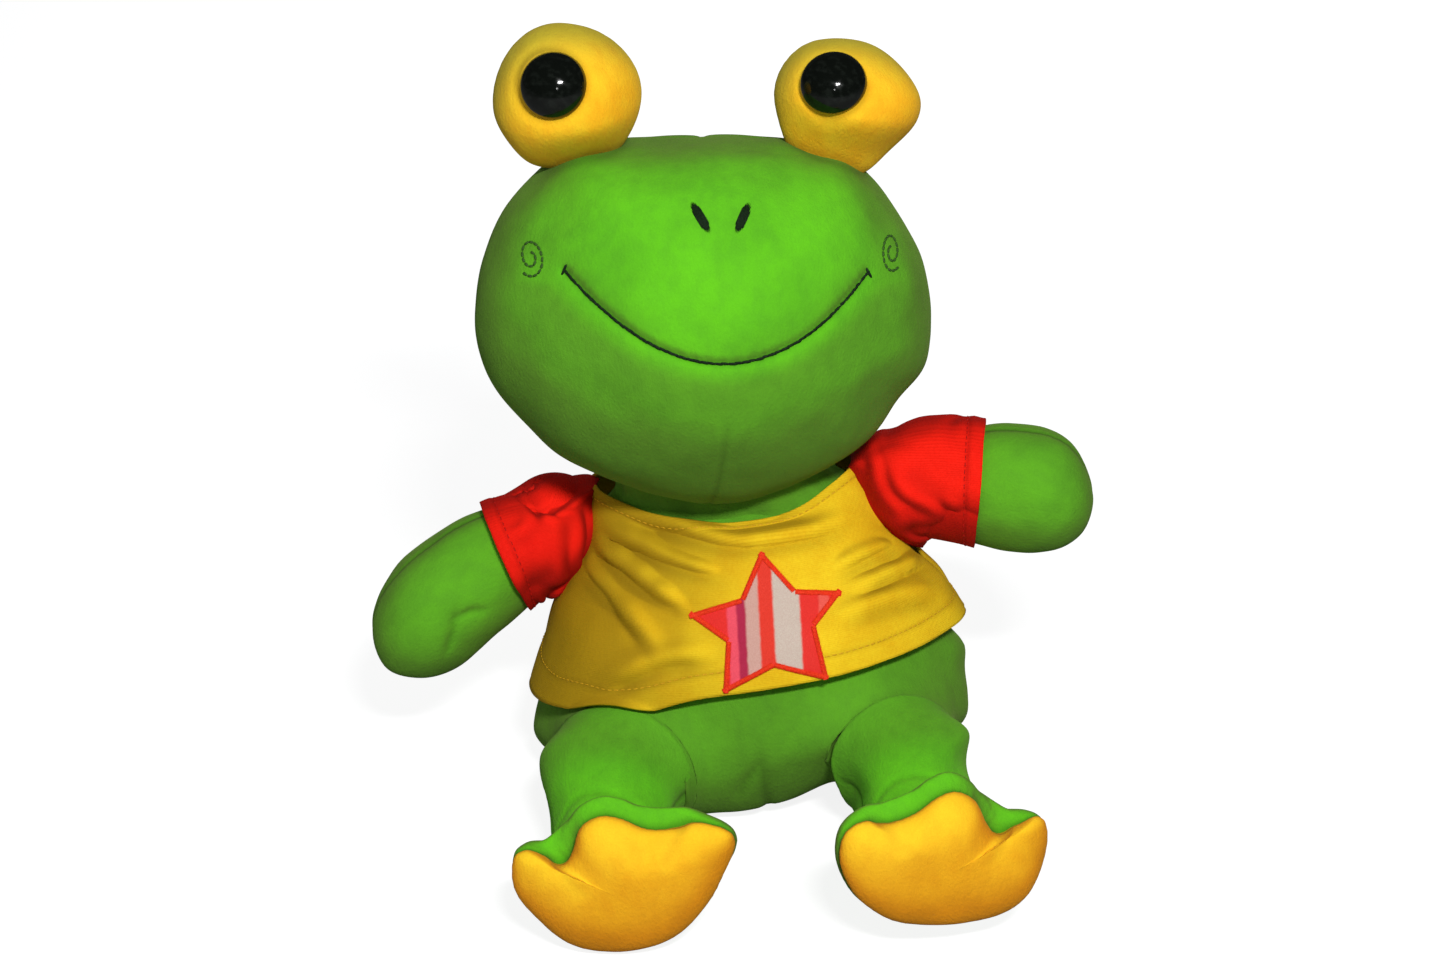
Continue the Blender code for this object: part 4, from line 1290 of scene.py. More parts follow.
@dataclass
class Torso:
    """The stuffed body, from the seat to the neck, and the skin of the neck."""

    finishes: Finishes
    joints: Joints
    height: float = 0.128
    half_width: float = 0.081
    half_depth: float = 0.061
    sink: float = 0.012
    widest_share: float = 0.36
    taper_share: float = 0.28
    taper_power: float = 1.5
    fullness: Pair = (3.1, 3.0)
    lean_side_deg: float = -5.0
    lean_back_deg: float = 9.0
    floor_softness: float = 0.003
    flat_depth: float = 0.0005
    hip_swell: float = 0.085
    hip_height: float = 0.030
    hip_reach: float = 0.026
    crotch_depth: float = 0.0012
    side_seam_depth: float = 0.004
    neck_shift: Pair = (0.010, 0.008)
    nape_hollow: float = 0.015
    hip_blend: float = 0.028
    outer: Skin = field(init=False)
    legs: Sequence[Limb] = ()
    detail: int = 64
    tugs: tuple[Tug, ...] = (
        Tug((955, 640), (12, 0), 20),
        Tug((835, 800), (0, -22), 46),
        Tug((838, 790), (5, -8), 22),
        Tug((760, 815), (0, -4), 40),
        Tug((606, 498), (-16, -20), 38),
        Tug((842, 488), (6, -20), 34),
    )
    lean: Matrix = field(init=False)
    skin: Skin = field(init=False)

    def __post_init__(self) -> None:
        """Set the frame that the body leans in."""
        self.lean = turned(self.lean_side_deg, "Y") @ turned(-self.lean_back_deg, "X")

    def settled(self, points: Points) -> Points:
        """Press what would be under the floor up to just above it.

        Args:
            points: World points, which are changed.

        Returns:
            The same points.
        """
        depth = points[:, 2] / self.floor_softness
        lifted = self.floor_softness * np.log1p(np.exp(np.minimum(depth, 20)))
        points[:, 2] = np.where(depth < 20, lifted, points[:, 2]) - self.flat_depth
        return points

    def swollen(self, size: Points, height: Points, across: Points, depth: Points) -> Points:
        """Local points from a size and height on the unit form and a direction round it.

        Args:
            size: How far out each point is, from 0 to 1.
            height: How far up it is, from -1 to 1.
            across: The part of its turn across.
            depth: The part of its turn in depth.

        Returns:
            The points in the piece's own frame.
        """
        below = self.height * self.widest_share
        reach = np.where(height > 0, self.height - below, below + self.sink)
        taper = 1 - self.taper_share * np.maximum(height, 0.0) ** self.taper_power
        level = below + reach * height
        hips = 1 + self.hip_swell * bell(level - self.hip_height, self.hip_reach)
        return np.stack(
            [
                self.half_width * size * taper * across * hips,
                self.half_depth * size * taper * depth * (1 + (hips - 1) * 0.35),
                level,
            ],
            axis=1,
        )

    def place(self, turn: Points, rise: Points) -> Points:
        """World points of the body for a turn round it and a rise from pole to pole.

        Args:
            turn: The turn round it, from 0 to 1.
            rise: The rise, from 0 to 1.

        Returns:
            Points in the world.
        """
        angle = math.tau * turn
        polar = math.pi * (rise - 0.5)
        fullness = np.where(polar > 0, self.fullness[1], self.fullness[0])
        size, height = power(np.cos(polar), fullness), power(np.sin(polar), fullness)
        local = self.swollen(size, height, np.cos(angle), np.sin(angle))
        return self.settled(placed(self.lean, local))

    def outward(self, turn: Points, rise: Points) -> Points:
        """The way out of the body.

        Args:
            turn: The turn round it, from 0 to 1.
            rise: The rise, from 0 to 1.

        Returns:
            Unit directions.
        """
        step = 0.002
        round_it = self.place(turn + step, rise) - self.place(turn - step, rise)
        along = self.place(turn, rise + step) - self.place(turn, rise - step)
        return unit(np.cross(round_it, along))

    def round_rise(self, height: float) -> float:
        """The rise at a height above the widest level.

        Args:
            height: The height in metres.

        Returns:
            The rise, from 0.5 to 1.
        """
        low = self.height * self.widest_share
        share = (height - low) / (self.height - low)
        return 0.5 + math.asin(share ** (self.fullness[1] / 2)) / math.pi

    def local(self, directions: Points) -> Points:
        """The body's points in its own frame for directions out of its middle.

        Args:
            directions: Unit directions out of the piece's middle.

        Returns:
            The points in the piece's own frame.
        """
        fullness = np.where(directions[:, 2] > 0, self.fullness[1], self.fullness[0])
        level, across, depth = round_axis(directions)
        stretch = reach_of(level, directions[:, 2], fullness)
        return self.swollen(level * stretch, directions[:, 2] * stretch, across, depth)

    def stand_off(self, points: Points) -> tuple[Points, Points]:
        """How far world points stand off the body with its legs, and the way out of them.

        Args:
            points: Points in the world.

        Returns:
            The distances, below zero inside, and the unit ways out.
        """
        level, slope = self.outer.clearance(points)
        for leg in self.legs:
            far, far_way = leg.stand_off(points)
            share = np.clip(0.5 + 0.5 * (far - level) / self.hip_blend, 0, 1)
            level = mix(far, level, share) - self.hip_blend * share * (1 - share)
            slope = unit(mix(far_way, slope, share[:, None]))
        return level, slope

    def held(self, local: Points) -> Points:
        """How firmly the side seam and the flat seat hold the body's skin."""
        return np.maximum(bell(local[:, 1] - self.side_seam_depth, 0.004), ease((0.02 - local[:, 2]) / 0.02))

    def build(self, legs: Sequence[Limb]) -> None:
        """Make the body's skin with its seams.

        Args:
            legs: The legs, which the body's skin runs up to in a soft curve.
        """
        piece, local = Stuffing().filled("torso_plush", self.lean, self.detail, self.local, self.held)
        plain = placed(self.lean, local)
        self.outer = Skin(plain, piece.faces)
        piece.push(0.0009 * lumps(local, 0.030, 1.0) + 0.0004 * lumps(local, 0.012, 2.0))
        piece.sew(np.abs(local[:, 1] - self.side_seam_depth), 0.0014, 0.0009, local[:, 2], 0.0045)
        back = np.where(local[:, 1] > 0, np.abs(local[:, 0]), 1.0)
        piece.sew(back, 0.0014, 0.0009, local[:, 2], 0.0045)
        front = np.where((local[:, 1] < 0) & (local[:, 2] < 0.060), np.abs(local[:, 0] - 0.004), 1.0)
        fade = ease((0.040 - local[:, 2]) / 0.035)
        piece.push(-self.crotch_depth * bell(front, 0.0022) * fade - 0.0008 * bell(front, 0.010) * fade)
        # Painted shade in the crotch seam.
        piece.paint_shade(0.5 * bell(front, 0.0020) * fade)
        # Painted shade in a faint ring round each leg's root.
        for name in SIDES:
            hip = self.joints.at("hip_raise_" + name)
            reach = np.linalg.norm(piece.points - np.array(hip), axis=1)
            piece.paint_shade(0.08 * bell(reach - 0.026, 0.004))
        gaps = np.array([leg.stand_off(plain)[0] for leg in legs])
        self.skin = Skin(tugged(self.settled(piece.points), self.tugs + HIP_TUGS), piece.faces)
        self.legs = legs
        for index, leg in enumerate(legs):
            near = (gaps[index] < self.hip_blend) & (gaps.argmin(axis=0) == index)
            piece.points[near] += soft_union(plain[near], self.outer.clearance, leg.stand_off, self.hip_blend, 0.010)
        piece.points = tugged(self.settled(piece.points), self.tugs + HIP_TUGS)
        piece.crease(((759, 762), (752, 774), (744, 786), (738, 800)), 0.0014, 0.0012)
        # Painted shade all over the body, deeper on the flanks that face away from the light.
        piece.brush(0.85, 0.55)
        body = piece.made(self.finishes.green, Slot.GREEN_PLUSH)
        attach(body, "torso")
        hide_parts("torso_cover", "torso_stuffing")
        self.build_neck()

    def build_neck(self) -> None:
        """Make the short skin that runs from the body up under the chin."""
        turn, rise, quads = band_grid(96, 24, wraps=True)
        level = mix(-0.016, 0.024, rise)
        upward = ease(rise)
        width = mix(0.0400, 0.0440, upward) + 0.020 * bell(level + 0.016, 0.011)
        depth = mix(0.0300, 0.0430, upward) - 0.0008 * bell(level, 0.010)
        pleat = 1 + 0.010 * np.sin(math.tau * turn * 14) + 0.006 * np.sin(math.tau * turn * 23)
        angle = math.tau * turn
        across = width * pleat * np.cos(angle) - self.neck_shift[0] * upward
        along = (depth * pleat - self.nape_hollow * upward * np.clip(np.sin(angle), 0, 1)) * np.sin(angle)
        along -= self.neck_shift[1] * upward
        local = np.stack([across, along, level], axis=1)
        place = Matrix.Translation(self.joints.at("neck_turn")) @ self.lean
        piece = Piece("neck_plush", placed(place, local), quads, local)
        # Painted shade in a band round the neck, and all over it, deeper on its flanks.
        piece.shade = 0.20 * bell(level, 0.008)
        piece.brush(0.80, 0.60)
        neck = piece.made(self.finishes.green, Slot.GREEN_PLUSH)
        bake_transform(neck)
        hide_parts("neck_ball")


@dataclass
class Head:
    """The wide head with its muzzle, mouth, nostrils and cheek swirls."""

    finishes: Finishes
    joints: Joints
    half_width: float = 0.089
    half_depth: float = 0.063
    below: float = 0.067
    above: float = 0.073
    fullness: Pair = (2.05, 2.9)
    shift: float = 0.011
    forward: float = 0.010
    turn_deg: float = 8.0
    back_deg: float = 10.0
    roll_deg: float = 3.0
    neck_standoff: float = 0.002
    muzzle_push: float = 0.006
    muzzle_half: Pair = (0.055, 0.045)
    mouth_half_width: float = 0.0582
    mouth_shift: float = 0.002
    mouth_end_height: float = 0.031
    mouth_drop: float = 0.031
    mouth_thread: float = 0.0012
    nostril_top: Pair = (0.0110, 0.058)
    nostril_end: Pair = (0.0050, 0.048)
    nostril_width: float = 0.0036
    swirl_centre: dict[str, Pair] = by_side((0.0670, 0.037), (0.072, 0.034))
    swirl_radius: float = 0.0062
    swirl_turns: float = 1.6
    side_seam_depth: float = 0.014
    # How much painted shade the face gets below the smile.
    chin_painted_shade: float = 0.58
    detail: int = 88
    tugs: tuple[Tug, ...] = (
        Tug((905, 210), (-9, 4), 44),
        Tug((930, 325), (5, 0), 46),
        Tug((900, 402), (-7, -3), 34),
        Tug((478, 320), (-6, 0), 55),
        Tug((515, 425), (5, -3), 38),
        Tug((625, 138), (0, -4), 26),
        Tug((790, 136), (0, -5), 26),
        Tug((727, 500), (0, 9), 60),
        Tug((727, 138), (0, -3), 50),
        Tug((925, 372), (4, 1), 30),
        Tug((578, 160), (-3, -11), 30),
        Tug((845, 158), (2, -4), 26),
    )
    place: Matrix = field(init=False)
    skin: Skin = field(init=False)

    def __post_init__(self) -> None:
        """Set the frame of the head from its pivot."""
        turn = turned(self.turn_deg, "Z") @ turned(-self.back_deg, "X") @ turned(self.roll_deg, "Y")
        drop = math.sqrt(1 - (self.forward / self.half_depth) ** 2 - (self.shift / self.half_width) ** 2)
        offset = Vector((-self.shift, -self.forward, self.neck_standoff + self.below * drop))
        self.place = Matrix.Translation(self.joints.at("neck_turn") + offset) @ turn

    def local(self, directions: Points) -> Points:
        """The head's points in its own frame for directions out of its middle.

        Args:
            directions: Unit directions out of the piece's middle.

        Returns:
            The points in the piece's own frame.
        """
        fullness = np.where(directions[:, 2] > 0, self.fullness[1], self.fullness[0])
        level = np.hypot(directions[:, 0], directions[:, 1])
        stretch = reach_of(level, directions[:, 2], fullness)
        shaped = directions * stretch[:, None]
        across = self.half_width * shaped[:, 0]
        depth = self.half_depth * shaped[:, 1]
        height = shaped[:, 2] * np.where(shaped[:, 2] > 0, self.above, self.below)
        bump = np.exp(-((across / self.muzzle_half[0]) ** 2) - (height / self.muzzle_half[1]) ** 2)
        depth = np.where(depth < 0, depth * (1 + self.muzzle_push * bump / self.half_depth), depth)
        return np.stack([across, depth, height], axis=1)

    def on_front(self, skin: Skin, across: float, height: float) -> tuple[Vector, Vector]:
        """The point of the face at a place seen straight from the front, and its normal."""
        origin = self.place @ Vector((across, -0.3, height))
        return skin.along(origin, self.place.to_3x3() @ Vector((0, 1, 0)))

    def mouth_path(self, skin: Skin) -> Points:
        """The smile's line on the face.

        Args:
            skin: The head's surface.

        Returns:
            The points along the line.
        """
        spots = []
        for share in np.linspace(-1, 1, 61):
            height = self.mouth_end_height - self.mouth_drop * (1 - share * share)
            spot, _ = self.on_front(skin, self.mouth_half_width * share - self.mouth_shift, height)
            spots.append(spot)
        return np.array(spots)

    def build(self) -> None:
        """Make the head's skin, pulled in at its seams, and the embroidery on it."""
        piece, local = Stuffing().filled(
            "head_plush",
            self.place,
            self.detail,
            self.local,
            lambda spots: bell(spots[:, 1] - self.side_seam_depth, 0.004),
        )
        piece.push(0.0011 * lumps(local, 0.036, 4.0) + 0.0004 * lumps(local, 0.014, 5.0))
        piece.sew(np.abs(local[:, 1] - self.side_seam_depth), 0.0013, 0.0009, local[:, 2] + local[:, 0], 0.005)
        back = np.where(local[:, 1] > self.side_seam_depth, np.abs(local[:, 0]), 1.0)
        piece.sew(back, 0.0013, 0.0009, local[:, 2], 0.005)
        chin = np.where((local[:, 1] < 0) & (local[:, 2] < -0.018), np.abs(local[:, 0] - 0.001), 1.0)
        fade = ease((-0.018 - local[:, 2]) / 0.02)
        piece.push(-0.0005 * bell(chin, 0.0012) * fade)
        # Painted shade in the chin seam.
        piece.paint_shade(0.35 * bell(chin, 0.0011) * fade)

        path = self.mouth_path(piece.skin())
        distance, share, nearest = line_distance(piece.points, path)
        # Painted shade below the smile, where the face turns down under the muzzle.
        under = ease((nearest[:, 2] - piece.points[:, 2]) / 0.010) * ease((0.010 - local[:, 1]) / 0.030)
        piece.painted_shade_and_stripe = self.chin_painted_shade * under
        pull = bell(distance, 0.0016) + 0.55 * bell(distance, 0.0055)
        pucker = 1 + 0.25 * np.sin(math.tau * share * 52)
        piece.push(-0.0010 * pull * pucker)
        # Painted shade in the smile's groove.
        piece.paint_shade(0.55 * bell(distance, 0.0016))
        # Painted shade round the root of each eye bulb.
        for name in SIDES:
            root = np.array(self.joints.at("eye_tilt_" + name))
            reach = np.linalg.norm(piece.points - root, axis=1)
            piece.paint_shade(0.55 * bell(reach - 0.018, 0.0035))
        piece.points = tugged(piece.points, self.tugs)
        # Painted shade on the head's flanks.
        piece.brush(0.85)
        self.skin = piece.skin()
        head = piece.made(self.finishes.green, Slot.GREEN_PLUSH)
        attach(head, "head")
        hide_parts("head_cover", "head_stuffing")
        self.build_mouth()
        self.build_nostrils()
        self.build_swirls()

    def build_mouth(self) -> None:
        """Sew the smile in slanted stem stitches, with a short tick at each end."""
        path = self.mouth_path(self.skin)
        row = stitch_row(self.skin, path, self.mouth_thread, 0.0042, 0.0027, 0.05)
        for end, before in ((path[0], path[2]), (path[-1], path[-3])):
            spot, normal, _, _ = self.skin.tree.find_nearest(Vector(end))
            run = Vector(end - before).normalized()
            side = run.cross(normal)
            tick = (side * (1 if run.x < 0 else -1) + run * 0.25).normalized() * 0.0028
            centre = spot + normal * 0.0004
            row.append(stitch(centre - tick, centre + tick, normal, self.mouth_thread / 2, 0.0006))
        mouth = joined("mouth_stitches", row).made(self.finishes.dark_thread, Slot.THREAD)
        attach(mouth, "head")
        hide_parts("mouth_stitching")

    def build_nostrils(self) -> None:
        """Fill both nostrils with satin stitches side by side."""
        for name, side in SIDES.items():
            top = np.array([side * self.nostril_top[0], self.nostril_top[1]])
            end = np.array([side * self.nostril_end[0], self.nostril_end[1]])
            run = end - top
            sideways = np.array([-run[1], run[0]]) / np.linalg.norm(run)
            row = []
            for across in np.linspace(-0.8, 0.8, 7):
                reach = 0.5 * math.sqrt(1 - across * across) + 0.02
                middle = (top + end) / 2 + sideways * across * self.nostril_width / 2
                first, second = middle - run * reach, middle + run * reach
                start, normal = self.on_front(self.skin, first[0] - self.mouth_shift, first[1])
                stop, _ = self.on_front(self.skin, second[0] - self.mouth_shift, second[1])
                lift = normal * 0.0003
                row.append(stitch(start + lift, stop + lift, normal, 0.00036, 0.0006))
            nostril = joined("nostril_stitches_" + name, row).made(self.finishes.dark_thread, Slot.THREAD)
            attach(nostril, "head")
            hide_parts("nostril_" + name)

    def build_swirls(self) -> None:
        """Sew a small running-stitch swirl on each cheek."""
        for name, side in SIDES.items():
            spots = []
            for share in np.linspace(0, 1, 40):
                angle = math.tau * (self.swirl_turns * share + 0.25)
                reach = self.swirl_radius * mix(0.25, 1.0, share)
                across = self.swirl_centre[name][0] + reach * math.cos(angle) * 0.8
                height = self.swirl_centre[name][1] + reach * math.sin(angle) * 1.2
                spots.append(self.on_front(self.skin, side * across, height)[0])
            row = stitch_row(self.skin, np.array(spots), 0.0011, 0.0024, 0.0026)
            swirl = joined("cheek_stitches_" + name, row).made(self.finishes.olive_thread, Slot.THREAD)
            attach(swirl, "head")
            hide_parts("cheek_swirl_" + name)


@dataclass
class EyeBulb:
    """A stuffed eye bulb on top of the head with its domed safety eye."""

    finishes: Finishes
    joints: Joints
    head: Head
    name: str
    radius: float = 0.0285
    lengths: dict[str, float] = by_side(0.0400, 0.0430)
    splay_deg: float = 10.0
    tilt_deg: dict[str, float] = by_side(2.0, -8.0)
    lower_fullness: float = 1.8
    foot_pinch: float = 0.50
    seam_depth: float = 0.006
    eye_radius: float = 0.0130
    dome_tilt_deg: dict[str, float] = by_side(12.0, 0.0)
    dome_height: float = 0.0070
    eye_rise_deg: dict[str, float] = by_side(21.0, 30.0)
    eye_turn_deg: dict[str, float] = by_side(-25.0, -21.0)
    detail: int = 44
    tugs: dict[str, tuple[Tug, ...]] = by_side(
        left=(
            Tug((895, 60), (-2, 6), 50), Tug((895, 150), (-5, -2), 34), Tug((785, 120), (5, 0), 30),
            Tug((918, 100), (6, 0), 36), Tug((845, 36), (0, 4), 36),
        ),
        right=(
            Tug((520, 60), (-5, -4), 50), Tug((635, 110), (-5, 0), 36), Tug((550, 25), (-2, -3), 32),
            Tug((505, 122), (-4, 2), 40), Tug((625, 45), (-2, 2), 34), Tug((530, 160), (-2, 5), 24),
        ),
    )

    def frames(self) -> tuple[Matrix, Matrix, float]:
        """The bulb's frame, the safety eye's frame, and how high the bulb's middle is.

        Returns:
            The two frames and the height.
        """
        side = SIDES[self.name]
        turn = self.head.place.to_3x3().to_4x4()
        place = Matrix.Translation(self.joints.at("eye_tilt_" + self.name)) @ turn
        place = place @ turned(side * self.splay_deg, "Y") @ turned(-self.tilt_deg[self.name], "X")
        middle = self.lengths[self.name] - self.radius
        facing = turned(self.eye_turn_deg[self.name], "Z") @ turned(90 - self.eye_rise_deg[self.name], "X")
        return place, place @ Matrix.Translation((0, 0, middle)) @ facing, middle

    def local(self, directions: Points, middle: float) -> Points:
        """The bulb's points in its own frame for directions out of its middle.

        Args:
            directions: Unit directions out of the piece's middle.
            middle: How high the bulb's middle is.

        Returns:
            The points in the piece's own frame.
        """
        level, across, depth = round_axis(directions)
        polar = np.arctan2(directions[:, 2], level)
        size = np.cos(polar)
        lean = np.abs(np.sin(polar))
        fullness = np.where(polar > 0, 2.0, self.lower_fullness)
        stretch = (np.maximum(size, 1e-9) ** fullness + lean**fullness) ** (-1 / fullness)
        radius = self.radius * size * stretch
        along = middle + self.radius * np.sin(polar) * stretch
        return np.stack([radius * across, radius * depth, along], axis=1)

    def build(self) -> None:
        """Make the bulb's skin and the safety eye."""
        place, eye, middle = self.frames()
        piece, local = Stuffing(pressure=120.0, detail=16, cap=0.002).filled(
            "eye_bulb_plush_" + self.name,
            place,
            self.detail,
            lambda ways: self.local(ways, middle),
            lambda spots: bell(spots[:, 1] - self.seam_depth, 0.003),
        )
        drawn_in = self.foot_pinch * ease((0.011 - local[:, 2]) / 0.022) * np.minimum(local[:, 1], 0.0)
        piece.points -= drawn_in[:, None] * np.array(place.to_3x3() @ Vector((0, 1, 0)))
        piece.push(0.0008 * lumps(local, 0.022, 7.0 + SIDES[self.name]))
        from_seam = np.where(local[:, 2] > -0.01, np.abs(local[:, 1] - self.seam_depth), 1.0)
        piece.sew(from_seam, 0.0012, 0.0006, local[:, 2], 0.004)
        seen = brought_back(eye, piece.points)
        round_eye = np.hypot(seen[:, 0], seen[:, 1])
        front = np.where(seen[:, 2] > 0, np.abs(round_eye - self.eye_radius), 1.0)
        piece.push(-0.0012 * bell(front, 0.0022))
        # Painted shade in the groove round the safety eye.
        piece.paint_shade(0.6 * bell(front, 0.0014))
        # Painted shade: the olive second colour on the top and sides of the bulb, fading out on its lower front.
        centre = np.array([0, 0, middle])
        out = unit(local - centre)
        lower_front_facing = out @ unit(np.array([0.12, -0.90, -0.38]))
        piece.painted_shade_and_stripe = ease((0.60 - lower_front_facing) / 0.85) * 0.85
        piece.points = tugged(piece.points, self.tugs[self.name])
        # Painted shade where the bulb meets the head.
        gaps, _ = self.head.skin.clearance(piece.points)
        piece.paint_shade(0.7 * bell(gaps, 0.0035))
        bulb = piece.made(self.finishes.yellow, Slot.YELLOW_PLUSH)
        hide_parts("eye_bulb_%s_cover" % self.name, "eye_bulb_%s_stuffing" % self.name)
        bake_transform(bulb)
        self.build_dome(eye)

    def build_dome(self, eye: Matrix) -> None:
        """Make the glossy dome with its thin rim, turned round the eye's axis.

        Args:
            eye: The safety eye's frame.
        """
        edge = self.radius - self.eye_radius**2 / (2 * self.radius) - 0.0018
        rim = edge + 0.0012
        top = self.radius + self.dome_height
        outline = [(0.0, edge), (self.eye_radius - 0.0012, edge), (self.eye_radius - 0.0003, edge + 0.0002)]
        for angle in np.linspace(0, math.pi / 2, 26):
            outline.append((self.eye_radius * math.cos(angle), mix(rim, top, math.sin(angle))))
        profile = np.array(outline)
        turn, spot, quads = band_grid(64, len(profile) - 1, wraps=True)
        index = np.round(spot * (len(profile) - 1)).astype(int)
        angle = math.tau * turn
        radius = np.maximum(profile[index, 0], 1e-5)
        local = np.stack([radius * np.cos(angle), radius * np.sin(angle), profile[index, 1]], axis=1)
        pivot = Matrix.Translation((0, 0, edge))
        eye = eye @ pivot @ turned(-self.dome_tilt_deg[self.name], "X") @ pivot.inverted()
        dome = Piece("safety_eye_dome_" + self.name, placed(eye, local), quads, local)
        thing = dome.made(self.finishes.black, Slot.BLACK_PLASTIC)
        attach(thing, "eye_" + self.name)
        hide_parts("safety_eye_" + self.name)
        for slot in bpy.data.objects["eye_washer_" + self.name].material_slots:
            slot.material = self.finishes.clear


@dataclass
class Limb:
    """A stuffed arm or leg with a ball-shaped root and a rounded tip."""

    finishes: Finishes
    name: str
    body: str
    place: Matrix
    root_radius: float
    tip_radius: float
    length: float
    seed: float
    root_share: float = 0.30
    tip_share: float = 0.68
    waist: float = 0.0
    tugs: tuple[Tug, ...] = ()
    creases: tuple[tuple[Pair, ...], ...] = ()
    # How much painted shade the whole limb gets, and how much its flanks get.
    painted_shade_base: float = 0.0
    facing_shade_strength: float = 0.80
    detail: int = 40
    skin: Skin = field(init=False)

    def local(self, directions: Points) -> Points:
        """The limb's points in its own frame for directions out of it.

        Args:
            directions: Unit directions out of the piece.

        Returns:
            The points in the piece's own frame.
        """
        level, across, depth = round_axis(directions)
        rise = np.arctan2(directions[:, 2], level) / math.pi + 0.5
        root = math.pi / 2 * np.clip(rise / self.root_share, 0, 1)
        run = np.clip((rise - self.root_share) / (self.tip_share - self.root_share), 0, 1)
        tip = math.pi / 2 * np.clip((rise - self.tip_share) / (1 - self.tip_share), 0, 1)
        straight = self.length - self.tip_radius
        along = np.where(
            rise < self.root_share,
            -self.root_radius * np.cos(root),
            np.where(rise < self.tip_share, straight * run, straight + self.tip_radius * np.sin(tip)),
        )
        radius = np.where(
            rise < self.root_share,
            self.root_radius * np.sin(root),
            np.where(
                rise < self.tip_share,
                mix(self.root_radius, self.tip_radius, ease(run)),
                self.tip_radius * np.cos(tip),
            ),
        )
        radius = radius * (1 - self.waist * bell(along - straight * 0.55, 0.012))
        return np.stack([radius * across, radius * depth, along], axis=1)

    def stand_off(self, points: Points) -> tuple[Points, Points]:
        """How far world points stand off the limb's plain form, and the way out of it.

        Args:
            points: Points in the world.

        Returns:
            The distances, below zero inside, and the unit ways out.
        """
        away = brought_back(self.place, points)
        straight = self.length - self.tip_radius
        along = np.clip(away[:, 2], 0, straight)
        away[:, 2] -= along
        far = np.linalg.norm(away, axis=1)
        radius = mix(self.root_radius, self.tip_radius, ease(along / straight))
        return far - radius, unit(away) @ np.array(self.place.to_3x3()).T

    def build(self) -> None:
        """Make the limb's skin with the seam along it."""
        piece, local = Stuffing(detail=16).filled(
            self.name + "_plush",
            self.place,
            self.detail,
            self.local,
            lambda spots: np.maximum(bell(spots[:, 1], 0.003), ease(-spots[:, 2] / 0.008)),
        )
        uneven = 0.0009 * lumps(local, 0.022, self.seed) + 0.0003 * lumps(local, 0.010, self.seed + 1)
        piece.push(uneven * ease(local[:, 2] / 0.030))
        distance = np.where(local[:, 2] > -0.005, np.abs(local[:, 1]), 1.0)
        piece.sew(distance, 0.0012, 0.0006, local[:, 2], 0.0045)
        self.crease(piece, local)
        piece.points = tugged(piece.points, self.tugs)
        for path in self.creases:
            piece.crease(path, 0.0013, 0.0012)
        # Painted shade on the flanks, and a little all over.
        piece.brush(self.facing_shade_strength, self.painted_shade_base)
        piece.settle(0.0003)
        self.skin = piece.skin()
        limb = piece.made(self.finishes.green, Slot.GREEN_PLUSH)
        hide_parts(self.name + "_cover", self.name + "_stuffing")
        self.join(limb)

    def crease(self, piece: Piece, local: Points) -> None:
        """Add nothing here: an arm is smooth."""

    def join(self, limb: bpy.types.Object) -> None:
        """Let the limb ride on its body."""
        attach(limb, self.body)


@dataclass
class Leg(Limb):
    """A short leg, creased above the ankle, that runs softly into the body that it is sewn to."""

    torso: Torso | None = None

    def crease(self, piece: Piece, local: Points) -> None:
        """Fold the skin a little where the leg meets the foot and the body.

        Args:
            piece: The leg.
            local: Its plain points in its own frame.
        """
        body = self.torso.outer.clearance
        piece.points += soft_union(placed(self.place, local), self.stand_off, body, self.torso.hip_blend, -0.004)
        # Painted shade at the root, where the leg runs into the body.
        piece.painted_shade_and_stripe = 0.48 * (1 - ease((local[:, 2] - 0.002) / 0.026))
        angle = np.arctan2(local[:, 1], local[:, 0])
        wave = local[:, 2] - 0.038 - 0.003 * np.sin(angle * 2 + 0.7)
        piece.push(-0.0008 * bell(wave, 0.0020))
        # Painted shade in the crease above the ankle.
        piece.paint_shade(0.22 * bell(wave, 0.0020))

    def join(self, limb: bpy.types.Object) -> None:
        """Bake the leg's place into its mesh.

        Args:
            limb: The leg's object.
        """
        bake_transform(limb)


